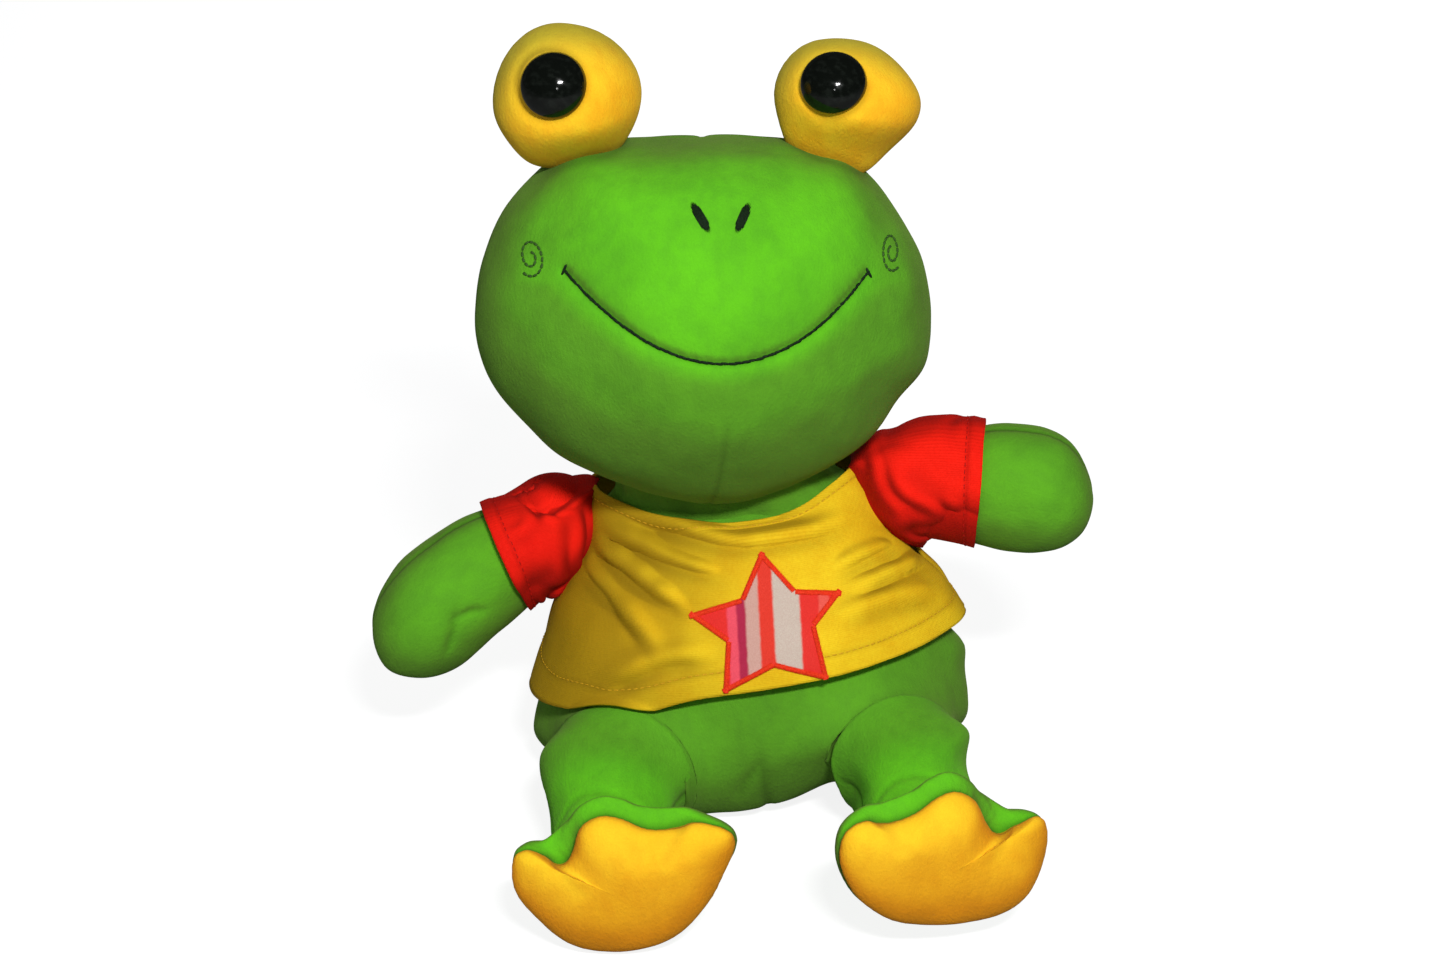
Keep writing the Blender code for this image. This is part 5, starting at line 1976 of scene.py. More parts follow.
@dataclass
class Foot:
    """A webbed foot with a padded yellow sole and a green upper."""

    finishes: Finishes
    joints: Joints
    name: str
    half_width: float = 0.0420
    height: float = 0.0570
    sole_bulge: float = 0.011
    upper_bulge: float = 0.016
    fullness: float = 2.5
    back_deg: dict[str, float] = by_side(10.0, 8.0)
    roll_deg: dict[str, float] = by_side(7.0, -9.0)
    splay_deg: dict[str, float] = by_side(17.0, 0.0)
    shift: dict[str, float] = by_side(-0.004, 0.007)
    ankle_standoff: float = 0.009
    centre_share: float = 0.46
    detail: int = 40
    tugs: dict[str, tuple[Tug, ...]] = by_side(
        left=(
            Tug((930, 932), (0, -9), 60), Tug((860, 900), (4, -3), 40), Tug((1022, 890), (9, 4), 38),
            Tug((1025, 812), (0, 7), 25),
        ),
        right=(
            Tug((712, 900), (-6, -4), 45), Tug((729, 838), (11, -3), 28), Tug((680, 820), (0, -5), 22),
            Tug((520, 855), (6, 3), 34),
        ),
    )
    outline: tuple[Pair, ...] = (
        (0.08, 1.00), (0.27, 0.94), (0.40, 0.79), (0.52, 0.73), (0.66, 0.80), (0.84, 0.86),
        (0.97, 0.80), (0.99, 0.62), (0.87, 0.40), (0.58, 0.13), (0.22, 0.01), (-0.22, 0.01),
        (-0.58, 0.11), (-0.85, 0.28), (-0.99, 0.52), (-0.96, 0.72), (-0.76, 0.83), (-0.50, 0.82),
        (-0.30, 0.86), (-0.10, 0.96),
    )
    upper_outline: tuple[Pair, ...] = (
        (0.08, 1.11), (0.27, 1.06), (0.42, 0.97), (0.56, 0.90), (0.70, 0.86), (0.86, 0.87),
        (0.98, 0.80), (0.99, 0.62), (0.87, 0.40), (0.58, 0.13), (0.22, 0.01), (-0.22, 0.01),
        (-0.58, 0.11), (-0.85, 0.28), (-0.99, 0.52), (-0.97, 0.74), (-0.78, 0.88), (-0.52, 0.93),
        (-0.30, 1.00), (-0.10, 1.08),
    )

    def frame(self) -> Matrix:
        """The foot's frame, from the ankle's pivot.

        Returns:
            The frame.
        """
        side = SIDES[self.name]
        turn = turned(side * self.splay_deg[self.name], "Z") @ turned(-self.back_deg[self.name], "X")
        reach = Vector((self.shift[self.name], -self.upper_bulge - self.ankle_standoff, 0))
        place = Matrix.Translation(self.joints.at("ankle_flex_" + self.name)) @ turn
        return place @ Matrix.Translation(reach) @ turned(self.roll_deg[self.name], "Y")

    def rim(self, turn: Points, outline: tuple[Pair, ...]) -> Points:
        """An outline as shares of the half width and the height, smooth between its points.

        Args:
            turn: The turn round it, from 0 to 1.
            outline: The outline's points.

        Returns:
            The shares for each turn.
        """
        known = np.array(outline)
        spot = (turn % 1.0) * len(known)
        first = np.floor(spot).astype(int)
        share = (spot - first)[:, None]
        return smooth_between([known[(first + step) % len(known)] for step in (-1, 0, 1, 2)], share)

    def local(self, directions: Points) -> Points:
        """The foot's points in its own frame for directions out of its middle.

        Args:
            directions: Unit directions out of the piece's middle.

        Returns:
            The points in the piece's own frame.
        """
        side = SIDES[self.name]
        level = np.hypot(directions[:, 0], directions[:, 2])
        stretch = reach_of(level, directions[:, 1], self.fullness)
        turn = np.arctan2(directions[:, 0], directions[:, 2]) / math.tau
        behind = ease(directions[:, 1] * stretch * 2.2)[:, None]
        spot = mix(self.rim(turn * side, self.outline), self.rim(turn * side, self.upper_outline), behind)
        size = level * stretch
        bulge = np.where(directions[:, 1] > 0, self.upper_bulge, self.sole_bulge)
        return np.stack(
            [
                self.half_width * spot[:, 0] * size * side,
                bulge * directions[:, 1] * stretch,
                self.height * (spot[:, 1] - self.centre_share) * size,
            ],
            axis=1,
        )

    def build(self) -> None:
        """Make the foot's skin, crease its toes, and part it into sole and upper."""
        place = self.frame()
        side = SIDES[self.name]
        piece, local = Stuffing(pressure=60.0, detail=18, cap=0.0015).filled(
            "foot_" + self.name, place, self.detail, self.local, lambda spots: bell(spots[:, 1], 0.003)
        )
        piece.push(0.0008 * lumps(local, 0.018, 11.0 + side))
        around = np.arctan2(local[:, 0], local[:, 2]) * 0.040
        piece.sew(np.abs(local[:, 1]), 0.0011, 0.0008, around, 0.0042)
        flat = local[:, [0, 2]]
        notches = (((0.52, 0.73), (0.30, 0.50)), ((-0.62, 0.83), (-0.42, 0.60)))
        for start, end in notches:
            ends = np.array([start, end]) * (self.half_width * side, self.height)
            ends[:, 1] -= self.centre_share * self.height
            distance, share, _ = line_distance(flat, ends)
            depth = (1 - share) ** 0.7
            depth = depth * ease((0.004 - local[:, 1]) / 0.006)
            piece.push(-0.0006 * depth * bell(distance, 0.0028) - 0.0012 * depth * bell(distance, 0.0070))
            # Painted shade in the creases between the toes.
            piece.paint_shade(0.25 * depth * bell(distance, 0.0022))
        piece.points = tugged(piece.points, self.tugs[self.name])
        # Painted shade on sides that face away from the light: orange on the sole, olive on the upper.
        piece.brush(1.0, 0.0, (-0.05, -0.66, 0.75))
        piece.settle(0.0003)
        quads = piece.faces
        middle = local[quads].mean(axis=1)
        sole_faces, upper_faces = quads[middle[:, 1] < 0], quads[middle[:, 1] >= 0]
        self.part(piece, "foot_sole_plush_", sole_faces, True)
        self.part(piece, "foot_upper_plush_", upper_faces, False)

    def part(self, piece: Piece, name: str, faces: Points, sole: bool) -> None:
        """Cut one side of the foot out as a piece of its own.

        Args:
            piece: The whole foot.
            name: The start of the new piece's name.
            faces: The faces that it takes.
            sole: Whether it is the sole.
        """
        used, back = np.unique(faces, return_inverse=True)
        half = Piece(name + self.name, piece.points[used], back.reshape(faces.shape), piece.rest[used])
        half.shade = piece.shade[used]
        half.painted_shade_and_stripe = piece.painted_shade_and_stripe[used]
        material = self.finishes.sole if sole else self.finishes.green
        thing = half.made(material, Slot.YELLOW_PLUSH if sole else Slot.GREEN_PLUSH)
        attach(thing, "foot_" + self.name)
        if sole:
            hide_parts("foot_sole_" + self.name, "foot_stuffing_" + self.name)
        else:
            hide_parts("foot_upper_" + self.name)


@dataclass(frozen=True)
class Fold:
    """A fold of the shirt, drawn through pixels of the photograph."""

    path: tuple[Pair, ...]
    width: float
    height: float


@dataclass
class Shirt:
    """The knitted T-shirt: front, back, turned hems and the folds between the arms."""

    finishes: Finishes
    torso: Torso
    ease_gap: float = 0.0016
    hem_flare: float = 0.0050
    flare_share: float = 0.55
    fold_depth: float = 0.0028
    fold_count: int = 5
    fold_sway: float = 1.2
    fold_hem: float = 0.5
    hem_rise: Pair = (0.515, 0.020)
    neck_rise: Pair = (0.815, 0.025)
    underarm: dict[str, float] = by_side(0.30, 0.28)
    raglan_turn: dict[str, float] = by_side(0.052, 0.030)
    raglan_curve: float = 0.6
    thickness: float = 0.0012
    hem_band: float = 0.0046
    neck_band: float = 0.0034
    tall: float = 0.062
    columns: int = 150
    rows: int = 96
    front: Piece = field(init=False)
    tugs: tuple[Tug, ...] = (
        Tug((625, 500), (-32, -26), 40),
        Tug((838, 488), (10, -30), 40),
        Tug((541, 630), (8, -3), 36),
        Tug((540, 676), (1, 18), 42),
        Tug((625, 694), (0, 16), 50),
        Tug((600, 710), (0, 7), 32),
        Tug((942, 578), (-3, 0), 26),
        Tug((960, 612), (4, 2), 20),
    )
    folds: tuple[Fold, ...] = (
        Fold(((608, 510), (655, 530), (730, 552), (800, 545), (840, 532), (866, 520)), 0.0036, 0.0030),
        Fold(((600, 530), (636, 552), (680, 572), (740, 588)), 0.0032, 0.0026),
        Fold(((592, 546), (622, 574), (655, 600), (692, 620)), 0.0034, 0.0030),
        Fold(((580, 566), (604, 598), (636, 638), (658, 666)), 0.0036, 0.0028),
        Fold(((902, 552), (870, 562), (828, 583)), 0.0034, 0.0026),
        Fold(((926, 565), (880, 587), (847, 600)), 0.0032, 0.0022),
        Fold(((945, 598), (880, 613), (830, 630)), 0.0040, 0.0018),
        Fold(((600, 700), (627, 683), (667, 668), (720, 663)), 0.0040, 0.0018),
    )

    def rise(self, turn: Points, share: Points) -> Points:
        """The body's rise under a shirt point, for a share of the way from hem to neckline.

        Args:
            turn: The turn round the body.
            share: The share of the way up.

        Returns:
            The rises.
        """
        front = 0.5 - 0.5 * np.sin(math.tau * turn)
        low = self.hem_rise[0] + self.hem_rise[1] * 0.5 * np.cos(math.tau * turn)
        high = self.neck_rise[0] - self.neck_rise[1] * front
        return mix(low, high, share)

    def lift(self, turn: Points, share: Points) -> Points:
        """How far the shirt hangs off the body. It flares and folds towards its hem.

        Args:
            turn: The turn round the body.
            share: The share of the way up.

        Returns:
            The distances.
        """
        low = 1 - ease(share / self.flare_share)
        sway = self.fold_sway * np.sin(math.tau * turn)
        wave = 0.5 + 0.5 * np.cos(math.tau * self.fold_count * turn + sway)
        drape = np.sin(math.pi * np.minimum(share / self.underarm["left"], 1.0)) ** 2
        return self.ease_gap + self.hem_flare * low + self.fold_depth * wave * mix(drape, low, self.fold_hem)

    def point(self, turn: Points, share: Points, lift: Points | float) -> Points:
        """World points of the shirt, lifted off its inner face.

        Args:
            turn: The turn round the body.
            share: The share of the way up.
            lift: How much further out the points are.

        Returns:
            Points in the world.
        """
        rise = self.rise(turn, share)
        out = self.torso.outward(turn, rise)
        return tugged(self.torso.place(turn, rise) + out * (self.lift(turn, share) + lift)[:, None], self.tugs)

    def seam_offset(self, share: Points, name: str) -> Points:
        """How far a panel's edge lies from the side seam, as a share of a turn."""
        over = (share - self.underarm[name]) / (1 - self.underarm[name])
        return self.raglan_turn[name] * np.maximum(over, 0.0) ** self.raglan_curve

    def panel(self, name: str, start: float) -> Piece:
        """A panel's smooth cloth. The front starts at half a turn, and the back at none.

        Args:
            name: The panel's name.
            start: The turn at which it starts.

        Returns:
            The panel.
        """
        across, share, quads = band_grid(self.columns, self.rows, wraps=False)
        first, last = ("right", "left") if start else ("left", "right")
        begin = start + self.seam_offset(share, first)
        end = start + 0.5 - self.seam_offset(share, last)
        turn = mix(begin, end, across)
        points = self.point(turn, share, 0.0)
        rest = brought_back(self.torso.lean, points)
        piece = Piece(name, points, quads, rest)
        width = math.tau * self.torso.half_width * 0.85
        side = np.minimum(across * (0.5 - begin + start), (1 - across) * (0.5 - begin + start)) * width
        piece.push(-0.0006 * bell(side, 0.0016))
        # Painted shade along the side seam.
        piece.shade = 0.5 * bell(side, 0.0010)
        return piece

    def crumple(self, piece: Piece, fold: Fold, skin: Skin) -> None:
        """Raise one fold, with the hollow beside it, and paint shade into the hollow.

        Args:
            piece: The panel.
            fold: The fold.
            skin: The panel before any fold.
        """
        corners = [skin.seen(*spot)[0] for spot in fold.path]
        path = smooth_path(corners, 0.002)
        distance, share, nearest = line_distance(piece.points, path)
        index = np.clip((share * (len(path) - 1)).astype(int), 0, len(path) - 2)
        run = path[index + 1] - path[index]
        across = np.cross(piece.normals(), unit(run))
        sign = np.sign(((piece.points - nearest) * across).sum(axis=1))
        upward = np.sign(across[:, 2] + 1e-9)
        signed = distance * sign * upward
        fade = ease(share / 0.30) * ease((1 - share) / 0.30)
        far = bell(distance, fold.width * 4)
        ridge = bell(signed - fold.width * 1.3, fold.width * 1.2) - 0.6 * bell(signed, fold.width * 0.8)
        piece.push(1.15 * fold.height * ridge * fade * far)
        piece.paint_shade(0.40 * bell(signed + fold.width * 0.2, fold.width * 0.9) * fade)

    def build(self) -> None:
        """Make both panels with their folds, hems and topstitching."""
        for name, start, node in (("shirt_front_jersey", 0.5, "shirt_front"), ("shirt_back_jersey", 0.0, "shirt_back")):
            piece = self.panel(name, start)
            _, share, _ = band_grid(self.columns, self.rows, wraps=False)
            if start:
                skin = piece.skin()
                for fold in self.folds:
                    self.crumple(piece, fold, skin)
            soft = np.sin(math.pi * np.clip(share, 0, 1)) ** 0.5
            broad, narrow = lumps(piece.rest, 0.026, 21.0 + start), lumps(piece.rest, 0.011, 23.0)
            piece.push(soft * (0.0009 * broad + 0.0004 * narrow))
            hem = share * self.tall
            neck = (1 - share) * self.tall
            piece.push(0.0007 * (1 - ease((hem - self.hem_band) / 0.0012)) - 0.0004 * bell(hem - self.hem_band, 0.0008))
            piece.push(0.0005 * (1 - ease((neck - self.neck_band) / 0.0010)))
            # Painted shade along the hem's and the neckband's fold lines.
            piece.paint_shade(0.35 * bell(hem - self.hem_band, 0.0007))
            piece.paint_shade(0.30 * bell(neck - self.neck_band, 0.0006))
            piece.keep_off(self.torso.skin.clearance, 0.0010, 3)
            piece.keep_off(self.torso.stand_off, 0.0022, 2)
            # Painted shade on the flanks, in the olive-brown second colour.
            piece.brush(1.0, 0.0, (0.50, -0.76, 0.42))
            area = piece.area()
            if start:
                self.front = piece
            panel = piece.made(self.finishes.yellow_jersey, Slot.YELLOW_JERSEY, self.thickness)
            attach(panel, "torso")
            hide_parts(node)
            LOG.info("%s: area %.5f", name, area)
            self.topstitch(name, piece)

    def topstitch(self, name: str, piece: Piece) -> None:
        """Sew a row of small stitches above the hem and below the neckline.

        Args:
            name: The panel's name.
            piece: The panel.
        """
        grid = piece.points.reshape(self.columns + 1, self.rows + 1, 3)
        normals = piece.normals().reshape(grid.shape)
        rows = []
        for level in (self.hem_band / self.tall * self.rows, self.rows - self.neck_band / self.tall * self.rows):
            low = int(level)
            path = mix(grid[:, low], grid[:, low + 1], level - low) + normals[:, low] * self.thickness
            lifted = Skin(piece.points + piece.normals() * self.thickness, piece.faces)
            rows += stitch_row(lifted, path, 0.0005, 0.0021, 0.0029)
        thing = joined(name.replace("jersey", "topstitch"), rows).made(self.finishes.yellow_thread, Slot.THREAD)
        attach(thing, "torso")


@dataclass
class Sleeve:
    """A short red raglan sleeve, gathered a little, with a turned cuff."""

    finishes: Finishes
    shirt: Shirt
    joints: Joints
    name: str
    place: Matrix
    arm: Limb
    shoulder_rise: float
    neck_share: float = 0.22
    radius: float = 0.0246
    length: float = 0.031
    cuff_skew: float = 0.0
    columns: int = 128
    rows: int = 52
    wrinkle: float = 0.0018
    tall: float = 0.045
    cuff_band: float = 0.0045
    thickness: float = 0.0012
    tugs: dict[str, tuple[Tug, ...]] = by_side(
        left=(Tug((955, 418), (0, -9), 50), Tug((955, 546), (0, -24), 34), Tug((880, 420), (0, 12), 26)),
        right=(
            Tug((545, 466), (0, 15), 30), Tug((560, 468), (0, 14), 36), Tug((508, 490), (2, 9), 34),
            Tug((550, 475), (0, 12), 32), Tug((535, 606), (-2, -9), 26),
        ),
    )

    def armhole(self, turn: Points) -> Points:
        """The seam round the armhole, seen from the shoulder's pivot.

        Args:
            turn: The turn round it, from 0 to 1.

        Returns:
            The seam's points.
        """
        side = SIDES[self.name]
        side_turn = 0.0 if side > 0 else 0.5
        towards = np.where(turn < 0.5, 1, -1)
        share = np.minimum(turn, 1 - turn) / 0.5
        down = np.clip((share - self.neck_share) / (1 - self.neck_share), 0, 1)
        height = mix(1.0, self.shirt.underarm[self.name], down)
        top = self.shirt.raglan_turn[self.name] * share / self.neck_share
        offset = np.where(share < self.neck_share, top, self.shirt.seam_offset(height, self.name))
        spots = self.shirt.point(side_turn - side * towards * offset, height, 0.0003)
        return spots - np.array(self.place.translation)

    def points(self, turn: Points, rise: Points) -> Points:
        """The sleeve's points, from its seam at the armhole to its cuff round the arm.

        Args:
            turn: The turn round it, from 0 to 1.
            rise: The share of the way from seam to cuff.

        Returns:
            Points in the world.
        """
        side = SIDES[self.name]
        side_turn = 0.0 if side > 0 else 0.5
        turning = np.array(self.place.to_3x3())
        up, front, axis = -side * turning[:, 0], -turning[:, 1], turning[:, 2]
        out = self.shirt.torso.outward(
            np.array([side_turn]), np.array([self.shirt.torso.round_rise(self.shoulder_rise)])
        )[0]
        middle = unit(out + axis)
        turn = (turn * side) % 1.0
        start = self.armhole(turn)
        angle = (math.tau * turn)[:, None]
        away = (up * np.cos(angle) + front * np.sin(angle)) * self.radius
        waist = away - axis * ((away @ middle) / (axis @ middle))[:, None]
        reach = self.length - self.cuff_skew * (1 + np.cos(angle)) / 2
        cuff = away + axis * reach
        one, two = unit(start), unit(waist)
        bend = np.arccos(np.clip((one * two).sum(axis=1), -1, 1))
        arc = bend * self.radius
        rest_length = np.linalg.norm(cuff - waist, axis=1)
        spot = rise * (arc + rest_length)
        share = np.clip(spot / np.maximum(arc, 1e-9), 0, 1)
        sine = np.maximum(np.sin(bend), 1e-6)
        swept = (
            one * (np.sin((1 - share) * bend) / sine)[:, None] + two * (np.sin(share * bend) / sine)[:, None]
        )
        length = mix(np.linalg.norm(start, axis=1), np.linalg.norm(waist, axis=1), share)
        beyond = np.clip((spot - arc) / np.maximum(rest_length, 1e-9), 0, 1)[:, None]
        near = swept * length[:, None]
        return np.where((spot < arc)[:, None], near, mix(waist, cuff, beyond)) + np.array(self.place.translation)

    def build(self) -> None:
        """Make the sleeve with its gathers and cuff."""
        turn, rise, quads = band_grid(self.columns, self.rows, wraps=True)
        points = self.points(turn, rise)
        rest = brought_back(self.place, points)
        order = quads if SIDES[self.name] > 0 else quads[:, ::-1]
        piece = Piece("sleeve_jersey_" + self.name, points, order, rest[:, [2, 1, 0]])
        piece.points = tugged(piece.points, self.tugs[self.name])
        outward = points - np.array(self.place.translation)
        if (piece.normals() * outward).sum() < 0:
            piece.faces = piece.faces[:, ::-1]
        side = SIDES[self.name]
        own_turn = (turn * side) % 1.0
        under = 0.35 + 0.65 * (0.5 - 0.5 * np.cos(math.tau * own_turn))
        inner = np.sin(math.pi * np.clip(rise, 0, 1)) ** 0.7
        warp = lumps(np.stack([np.cos(math.tau * turn), np.sin(math.tau * turn), rise * 2], axis=1), 0.8, 31.0 + side)
        rings = np.sin(math.tau * (rise * 3.4 + warp * 1.1 + 0.3 * np.cos(math.tau * turn)))
        pleats = np.sin(math.tau * (turn * 7 + warp * 0.8))
        piece.push(self.wrinkle * inner * under * (0.65 * rings + 0.35 * pleats))
        # Painted shade in the valleys of the wrinkles.
        piece.shade = 0.42 * inner * under * np.clip(-0.65 * rings - 0.35 * pleats, 0, 1)
        cuff = (1 - rise) * self.tall
        piece.push(0.0006 * (1 - ease((cuff - self.cuff_band) / 0.0010)) - 0.0004 * bell(cuff - self.cuff_band, 0.0007))
        piece.push(-0.0004 * bell(rise * self.tall, 0.0014))
        # Painted shade at the armhole seam and the cuff's fold.
        piece.paint_shade(0.5 * bell(rise * self.tall, 0.0010))
        piece.paint_shade(0.35 * bell(cuff - self.cuff_band, 0.0006))
        piece.keep_off(self.arm.skin.clearance, 0.0007)
        # Painted shade on the flanks.
        piece.brush(0.85)
        lifted = Skin(piece.points + piece.normals() * self.thickness, piece.faces)
        grid = piece.points.reshape(self.columns, self.rows + 1, 3)
        level = int((1 - self.cuff_band / self.tall) * self.rows)
        path = np.vstack([grid[:, level], grid[:1, level]])
        row = stitch_row(lifted, path, 0.0005, 0.0021, 0.0029)
        sleeve = piece.made(self.finishes.red_jersey, Slot.RED_JERSEY, self.thickness)
        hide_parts("sleeve_" + self.name)
        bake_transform(sleeve)
        stitches = joined("sleeve_topstitch_" + self.name, row).made(self.finishes.red_thread, Slot.THREAD)
        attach(stitches, "arm_" + self.name)


@dataclass
class Star:
    """The striped star on the chest with its satin-stitched border."""

    finishes: Finishes
    shirt: Shirt
    tips: tuple[Pair, ...] = ((761, 552), (841, 592), (828, 680), (724, 693), (689, 615))
    notches: tuple[Pair, ...] = ((795, 590), (815, 626), (774, 667), (727, 642), (741, 599))
    centre: Pair = (768.0, 627.0)
    thickness: float = 0.0012
    pitch: float = 0.00052

    def outline(self) -> Points:
        """The star's corners in pixels, a tip and a notch in turn.

        Returns:
            The corners.
        """
        corners = []
        for tip, notch in zip(self.tips, self.notches):
            corners += [tip, notch]
        return np.array(corners, dtype=float)

    def build(self) -> None:
        """Lay the badge on the shirt front and sew its border."""
        front = self.shirt.front
        cloth = Skin(front.points + front.normals() * self.thickness, front.faces)
        corners = self.outline()
        closed = np.vstack([corners, corners[:1]])
        ring = []
        for start, end in zip(closed[:-1], closed[1:]):
            for share in np.linspace(0, 1, 9, endpoint=False):
                ring.append(mix(start, end, share))
        rim = np.array(ring)
        around, out, quads = band_grid(len(rim), 14, wraps=True)
        index = np.round(around * len(rim)).astype(int) % len(rim)
        middle = np.array(self.centre)
        flat = middle + (rim[index] - middle) * np.maximum(out, 0.0005)[:, None] * 0.985
        spots, normals = zip(*(cloth.seen(*spot) for spot in flat))
        lift = 0.0004 + 0.0003 * (1 - out**6)
        points = np.array(spots) + np.array(normals) * lift[:, None]
        piece = Piece("star_badge_cloth", points, quads, points)
        if (piece.normals() * np.array([0, -1, 0])).sum() < 0:
            piece.faces = piece.faces[:, ::-1]
        slope = 0.055
        across = (flat[:, 0] - (flat[:, 1] - middle[1]) * slope - self.tips[4][0]) / (self.tips[1][0] - self.tips[4][0])
        # The stripe share, kept in the layer that holds painted shade on other pieces.
        piece.painted_shade_and_stripe = across
        badge = piece.made(self.finishes.badge, Slot.BADGE_PRINT)
        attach(badge, "torso")
        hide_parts("star_badge")
        self.build_border(cloth, closed)

    def build_border(self, cloth: Skin, closed: Points) -> None:
        """Sew the border in satin stitches across the badge's edge.

        Args:
            cloth: The badge's surface.
            closed: Its outline in the photograph, back to its start.
        """
        row = []
        middle = np.array(self.centre)
        for start, end in zip(closed[:-1], closed[1:]):
            first, last = Vector(cloth.seen(*start)[0]), Vector(cloth.seen(*end)[0])
            count = max(int((last - first).length / self.pitch), 4)
            run = unit(end - start)
            inward = np.array([-run[1], run[0]])
            if inward @ (middle - start) < 0:
                inward = -inward
            for index in range(count):
                spot = mix(start, end, (index + 0.5) / count)
                outer, normal = cloth.seen(*(spot - inward * 1.2))
                inner, _ = cloth.seen(*(spot + inward * 5.0))
                lift = normal * 0.0007
                row.append(stitch(outer + lift * 0.6, inner + lift, normal, self.pitch * 0.62, 0.0005))
        border = joined("star_border_stitches", row).made(self.finishes.border_thread, Slot.BADGE_BORDER)
        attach(border, "torso")
        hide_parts("star_border")


@dataclass
class Studio:
    """The pale floor, the soft lamps and the camera of the photograph."""

    key_power: float = 24.0
    fill_power: float = 1.6
    flash_power: float = 0.5
    back_power: float = 7.0
    world_strength: float = 0.20

    def build(self) -> None:
        """Set everything round the frog."""
        scene = bpy.context.scene
        scene.view_settings.view_transform = "Standard"
        data = bpy.data.cameras.new("photo_camera")
        data.sensor_width = PHOTO.sensor
        data.lens = PHOTO.lens()
        camera = bpy.data.objects.new("photo_camera", data)
        camera.location = PHOTO.spot()
        camera.rotation_euler = (math.radians(90 - PHOTO.rise_deg), 0, 0)
        scene.collection.objects.link(camera)
        scene.camera = camera
        self.lamp("key_lamp", (0.22, -1.25, 1.20), self.key_power, (0.30, 0.12))
        self.lamp("fill_lamp", (-0.9, -0.8, 0.7), self.fill_power, (0.9, 0.9), shines=False)
        self.lamp("back_lamp", (0.35, 1.40, 0.42), self.back_power, (0.9, 0.6), shines=False)
        self.lamp("flash_lamp", (-0.02, -1.22, 0.70), self.flash_power, (0.05, 0.05))
        self.build_world()
        self.build_floor()

    def lamp(
        self,
        name: str,
        spot: Triple,
        watts: float,
        size: Pair,
        shines: bool = True,
    ) -> None:
        """Add a soft lamp that faces the frog.

        Args:
            name: Its name.
            spot: Where it hangs.
            watts: Its power.
            size: Its width and height.
            shines: Whether glossy surfaces mirror it.
        """
        data = bpy.data.lights.new(name, "AREA")
        data.shape = "RECTANGLE"
        data.energy = watts
        data.size, data.size_y = size
        lamp = bpy.data.objects.new(name, data)
        lamp.visible_glossy = shines
        lamp.location = spot
        way = Vector((-0.01, -0.02, 0.13)) - Vector(spot)
        lamp.rotation_euler = way.to_track_quat("-Z", "Y").to_euler()
        bpy.context.scene.collection.objects.link(lamp)

    def build_world(self) -> None:
        """Light the frog evenly from all round, with white behind it for the camera."""
        world = bpy.data.worlds.new("studio_world")
        bpy.context.scene.world = world
        world.use_nodes = True
        nodes, links = world.node_tree.nodes, world.node_tree.links
        even = nodes["Background"]
        even.inputs["Color"].default_value = (0.93, 0.96, 1.0, 1.0)
        even.inputs["Strength"].default_value = self.world_strength
        white = nodes.new("ShaderNodeBackground")
        white.inputs["Strength"].default_value = 1.0
        path = nodes.new("ShaderNodeLightPath")
        both = nodes.new("ShaderNodeMixShader")
        links.new(path.outputs["Is Camera Ray"], both.inputs["Fac"])
        dim = nodes.new("ShaderNodeBackground")
        dim.inputs["Strength"].default_value = self.world_strength * 0.15
        mirrored = nodes.new("ShaderNodeMixShader")
        links.new(path.outputs["Is Glossy Ray"], mirrored.inputs["Fac"])
        links.new(even.outputs["Background"], mirrored.inputs[1])
        links.new(dim.outputs["Background"], mirrored.inputs[2])
        links.new(mirrored.outputs["Shader"], both.inputs[1])
        links.new(white.outputs["Background"], both.inputs[2])
        links.new(both.outputs["Shader"], nodes["World Output"].inputs["Surface"])

    def build_floor(self) -> None:
        """Lay a wide white floor that keeps the frog's shadow."""
        _, _, quads = band_grid(8, 8, wraps=False)
        across, depth, _ = band_grid(8, 8, wraps=False)
        points = np.stack([mix(-6, 6, across), mix(-6, 6, depth), np.full(across.size, -0.0002)], axis=1)
        mesh = bpy.data.meshes.new("studio_floor")
        mesh.from_pydata(points.tolist(), [], quads[:, ::-1].tolist())
        material = bpy.data.materials.new("studio_floor")
        material.use_nodes = True
        nodes, links = material.node_tree.nodes, material.node_tree.links
        shader = nodes["Principled BSDF"]
        shader.inputs["Base Color"].default_value = (0.26, 0.26, 0.26, 1.0)
        shader.inputs["Roughness"].default_value = 0.9
        shader.inputs["Specular IOR Level"].default_value = 0.0
        glow = nodes.new("ShaderNodeEmission")
        glow.inputs["Strength"].default_value = 0.86
        path = nodes.new("ShaderNodeLightPath")
        black = nodes.new("ShaderNodeEmission")
        black.inputs["Strength"].default_value = 0.0
        seen = nodes.new("ShaderNodeMixShader")
        both = nodes.new("ShaderNodeAddShader")
        links.new(path.outputs["Is Camera Ray"], seen.inputs["Fac"])
        links.new(black.outputs["Emission"], seen.inputs[1])
        links.new(glow.outputs["Emission"], seen.inputs[2])
        links.new(shader.outputs["BSDF"], both.inputs[0])
        links.new(seen.outputs["Shader"], both.inputs[1])
        links.new(both.outputs["Shader"], nodes["Material Output"].inputs["Surface"])
        mesh.materials.append(material)
        floor = bpy.data.objects.new("studio_floor", mesh)
        bpy.context.scene.collection.objects.link(floor)


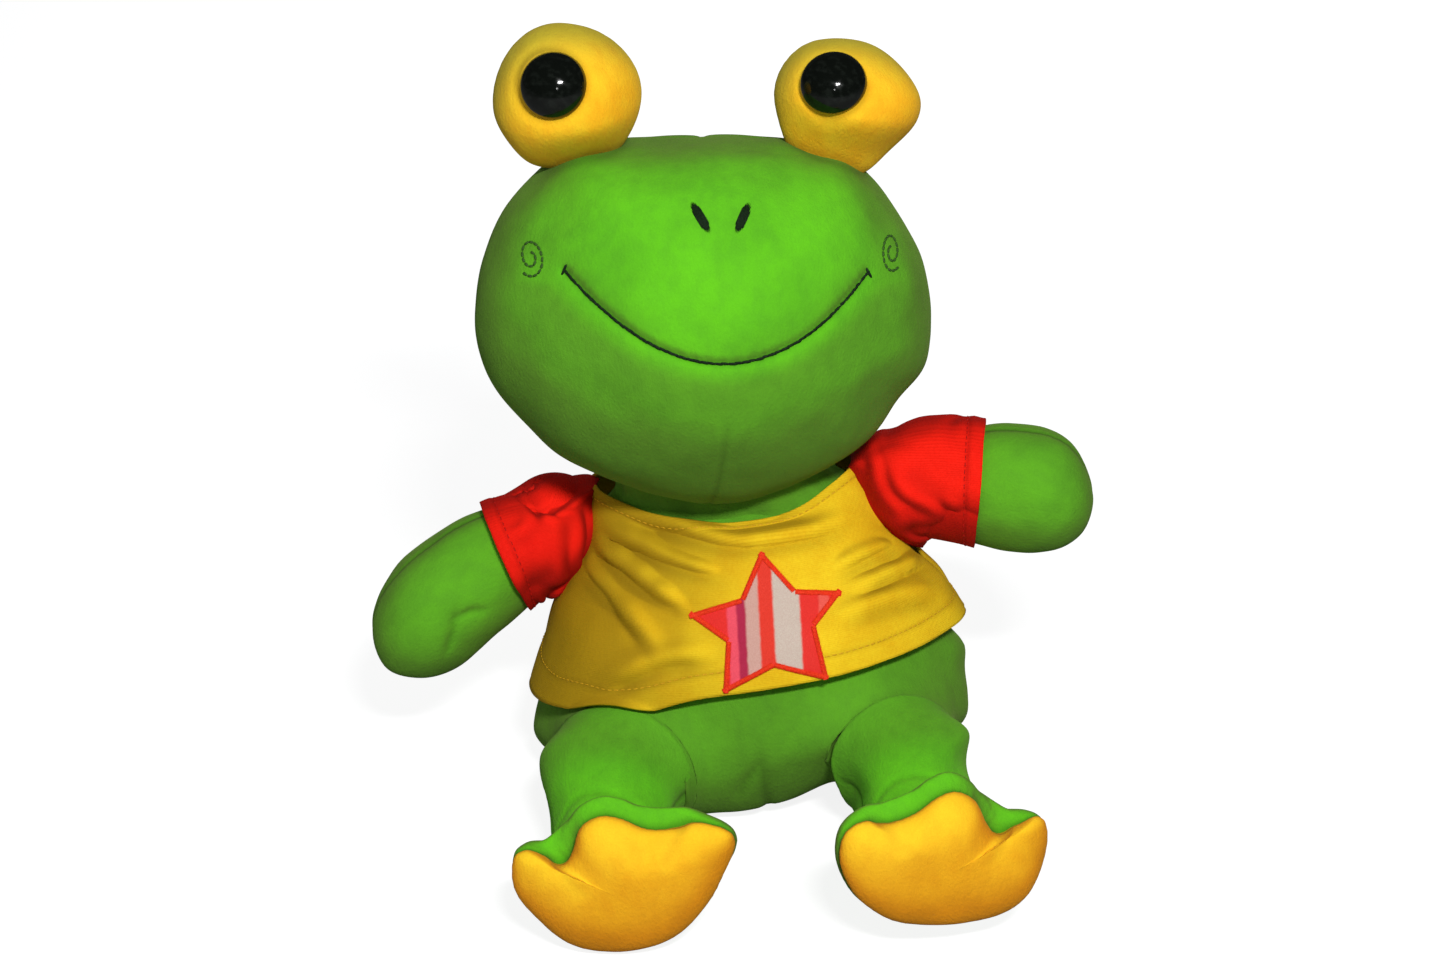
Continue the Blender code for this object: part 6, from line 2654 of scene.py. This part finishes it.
@dataclass
class Frog:
    """The whole frog, put together from its parts in sewing order."""

    arm_droop_deg: dict[str, float] = by_side(1.0, 33.0)
    arm_forward_deg: dict[str, float] = by_side(6.0, 12.0)
    arm_length: dict[str, float] = by_side(0.078, 0.084)
    shoulder_rise: dict[str, float] = by_side(0.106, 0.102)
    leg_splay_deg: dict[str, float] = by_side(4.0, 0.0)
    leg_raise_deg: dict[str, float] = by_side(1.0, -3.0)
    cuff_skew: dict[str, float] = by_side(0.0, 0.0115)
    leg_length: float = 0.050
    hip_radius: float = 0.0270
    ankle_radius: float = 0.0210
    shoulder_radius: float = 0.0190
    hand_radius: float = 0.0250
    # Painted shade all over the arms, and on the legs' flanks.
    arm_painted_shade_base: float = 0.42
    leg_facing_shade_strength: float = 0.05
    arm_creases: dict[str, tuple[tuple[Pair, ...], ...]] = by_side(
        left=(),
        right=(((447, 655), (453, 632), (455, 608)), ((455, 618), (470, 612), (487, 611))),
    )
    arm_tugs: dict[str, tuple[Tug, ...]] = by_side(
        left=(Tug((1000, 422), (0, -8), 60), Tug((1090, 470), (-7, 0), 36)),
        right=(
            Tug((383, 660), (-9, 22), 40), Tug((383, 575), (4, 4), 30), Tug((455, 522), (0, -5), 30),
            Tug((372, 630), (-4, 0), 30), Tug((430, 680), (0, 8), 40),
        ),
    )
    leg_tugs: dict[str, tuple[Tug, ...]] = by_side(
        left=(Tug((838, 792), (14, 0), 26),),
        right=(),
    )

    def arm_frame(self, joints: Joints, name: str) -> Matrix:
        """The frame of an arm, with +Z along it.

        Args:
            joints: The joints.
            name: Left or right.

        Returns:
            The frame.
        """
        side = SIDES[name]
        place = Matrix.Translation(joints.at("shoulder_raise_" + name))
        place = place @ turned(-side * self.arm_forward_deg[name], "Z")
        return place @ turned(side * (90 + self.arm_droop_deg[name]), "Y")

    def leg_frame(self, joints: Joints, name: str) -> Matrix:
        """The frame of a leg, with +Z along it.

        Args:
            joints: The joints.
            name: Left or right.

        Returns:
            The frame.
        """
        side = SIDES[name]
        place = Matrix.Translation(joints.at("hip_raise_" + name))
        return place @ turned(side * self.leg_splay_deg[name], "Z") @ turned(90 - self.leg_raise_deg[name], "X")

    def leg(self, finishes: Finishes, joints: Joints, name: str) -> Leg:
        """One of the legs, with its sizes.

        Args:
            finishes: The finishes.
            joints: The joints.
            name: Left or right.

        Returns:
            The leg.
        """
        place = self.leg_frame(joints, name)
        length = self.leg_length + self.ankle_radius
        leg = Leg(
            finishes, "leg_" + name, "leg_" + name, place, self.hip_radius, self.ankle_radius, length,
            51.0 + SIDES[name],
        )
        leg.tugs, leg.facing_shade_strength = HIP_TUGS + self.leg_tugs[name], self.leg_facing_shade_strength
        return leg

    def build(self) -> None:
        """Make every piece."""
        finishes = Finishes.made()
        joints = Joints.read()
        torso = Torso(finishes, joints)
        legs = {name: self.leg(finishes, joints, name) for name in SIDES}
        torso.build(list(legs.values()))
        head = Head(finishes, joints)
        head.build()
        shirt = Shirt(finishes, torso)
        shirt.build()
        Star(finishes, shirt).build()
        for name, side in SIDES.items():
            EyeBulb(finishes, joints, head, name).build()
            place = self.arm_frame(joints, name)
            arm = Limb(
                finishes,
                "arm_" + name,
                "arm_" + name,
                place,
                self.shoulder_radius,
                self.hand_radius,
                self.arm_length[name],
                41.0 + side,
            )
            arm.painted_shade_base = self.arm_painted_shade_base
            arm.tugs, arm.creases = self.arm_tugs[name], self.arm_creases[name]
            arm.build()
            Sleeve(
                finishes, shirt, joints, name, place, arm, self.shoulder_rise[name], cuff_skew=self.cuff_skew[name]
            ).build()
            legs[name].torso = torso
            legs[name].build()
            Foot(finishes, joints, name).build()


def main() -> None:
    """Build the studio and the frog."""
    logging.basicConfig(level=logging.INFO, format="%(message)s")
    Studio().build()
    Frog().build()


if __name__ == "__main__":
    main()
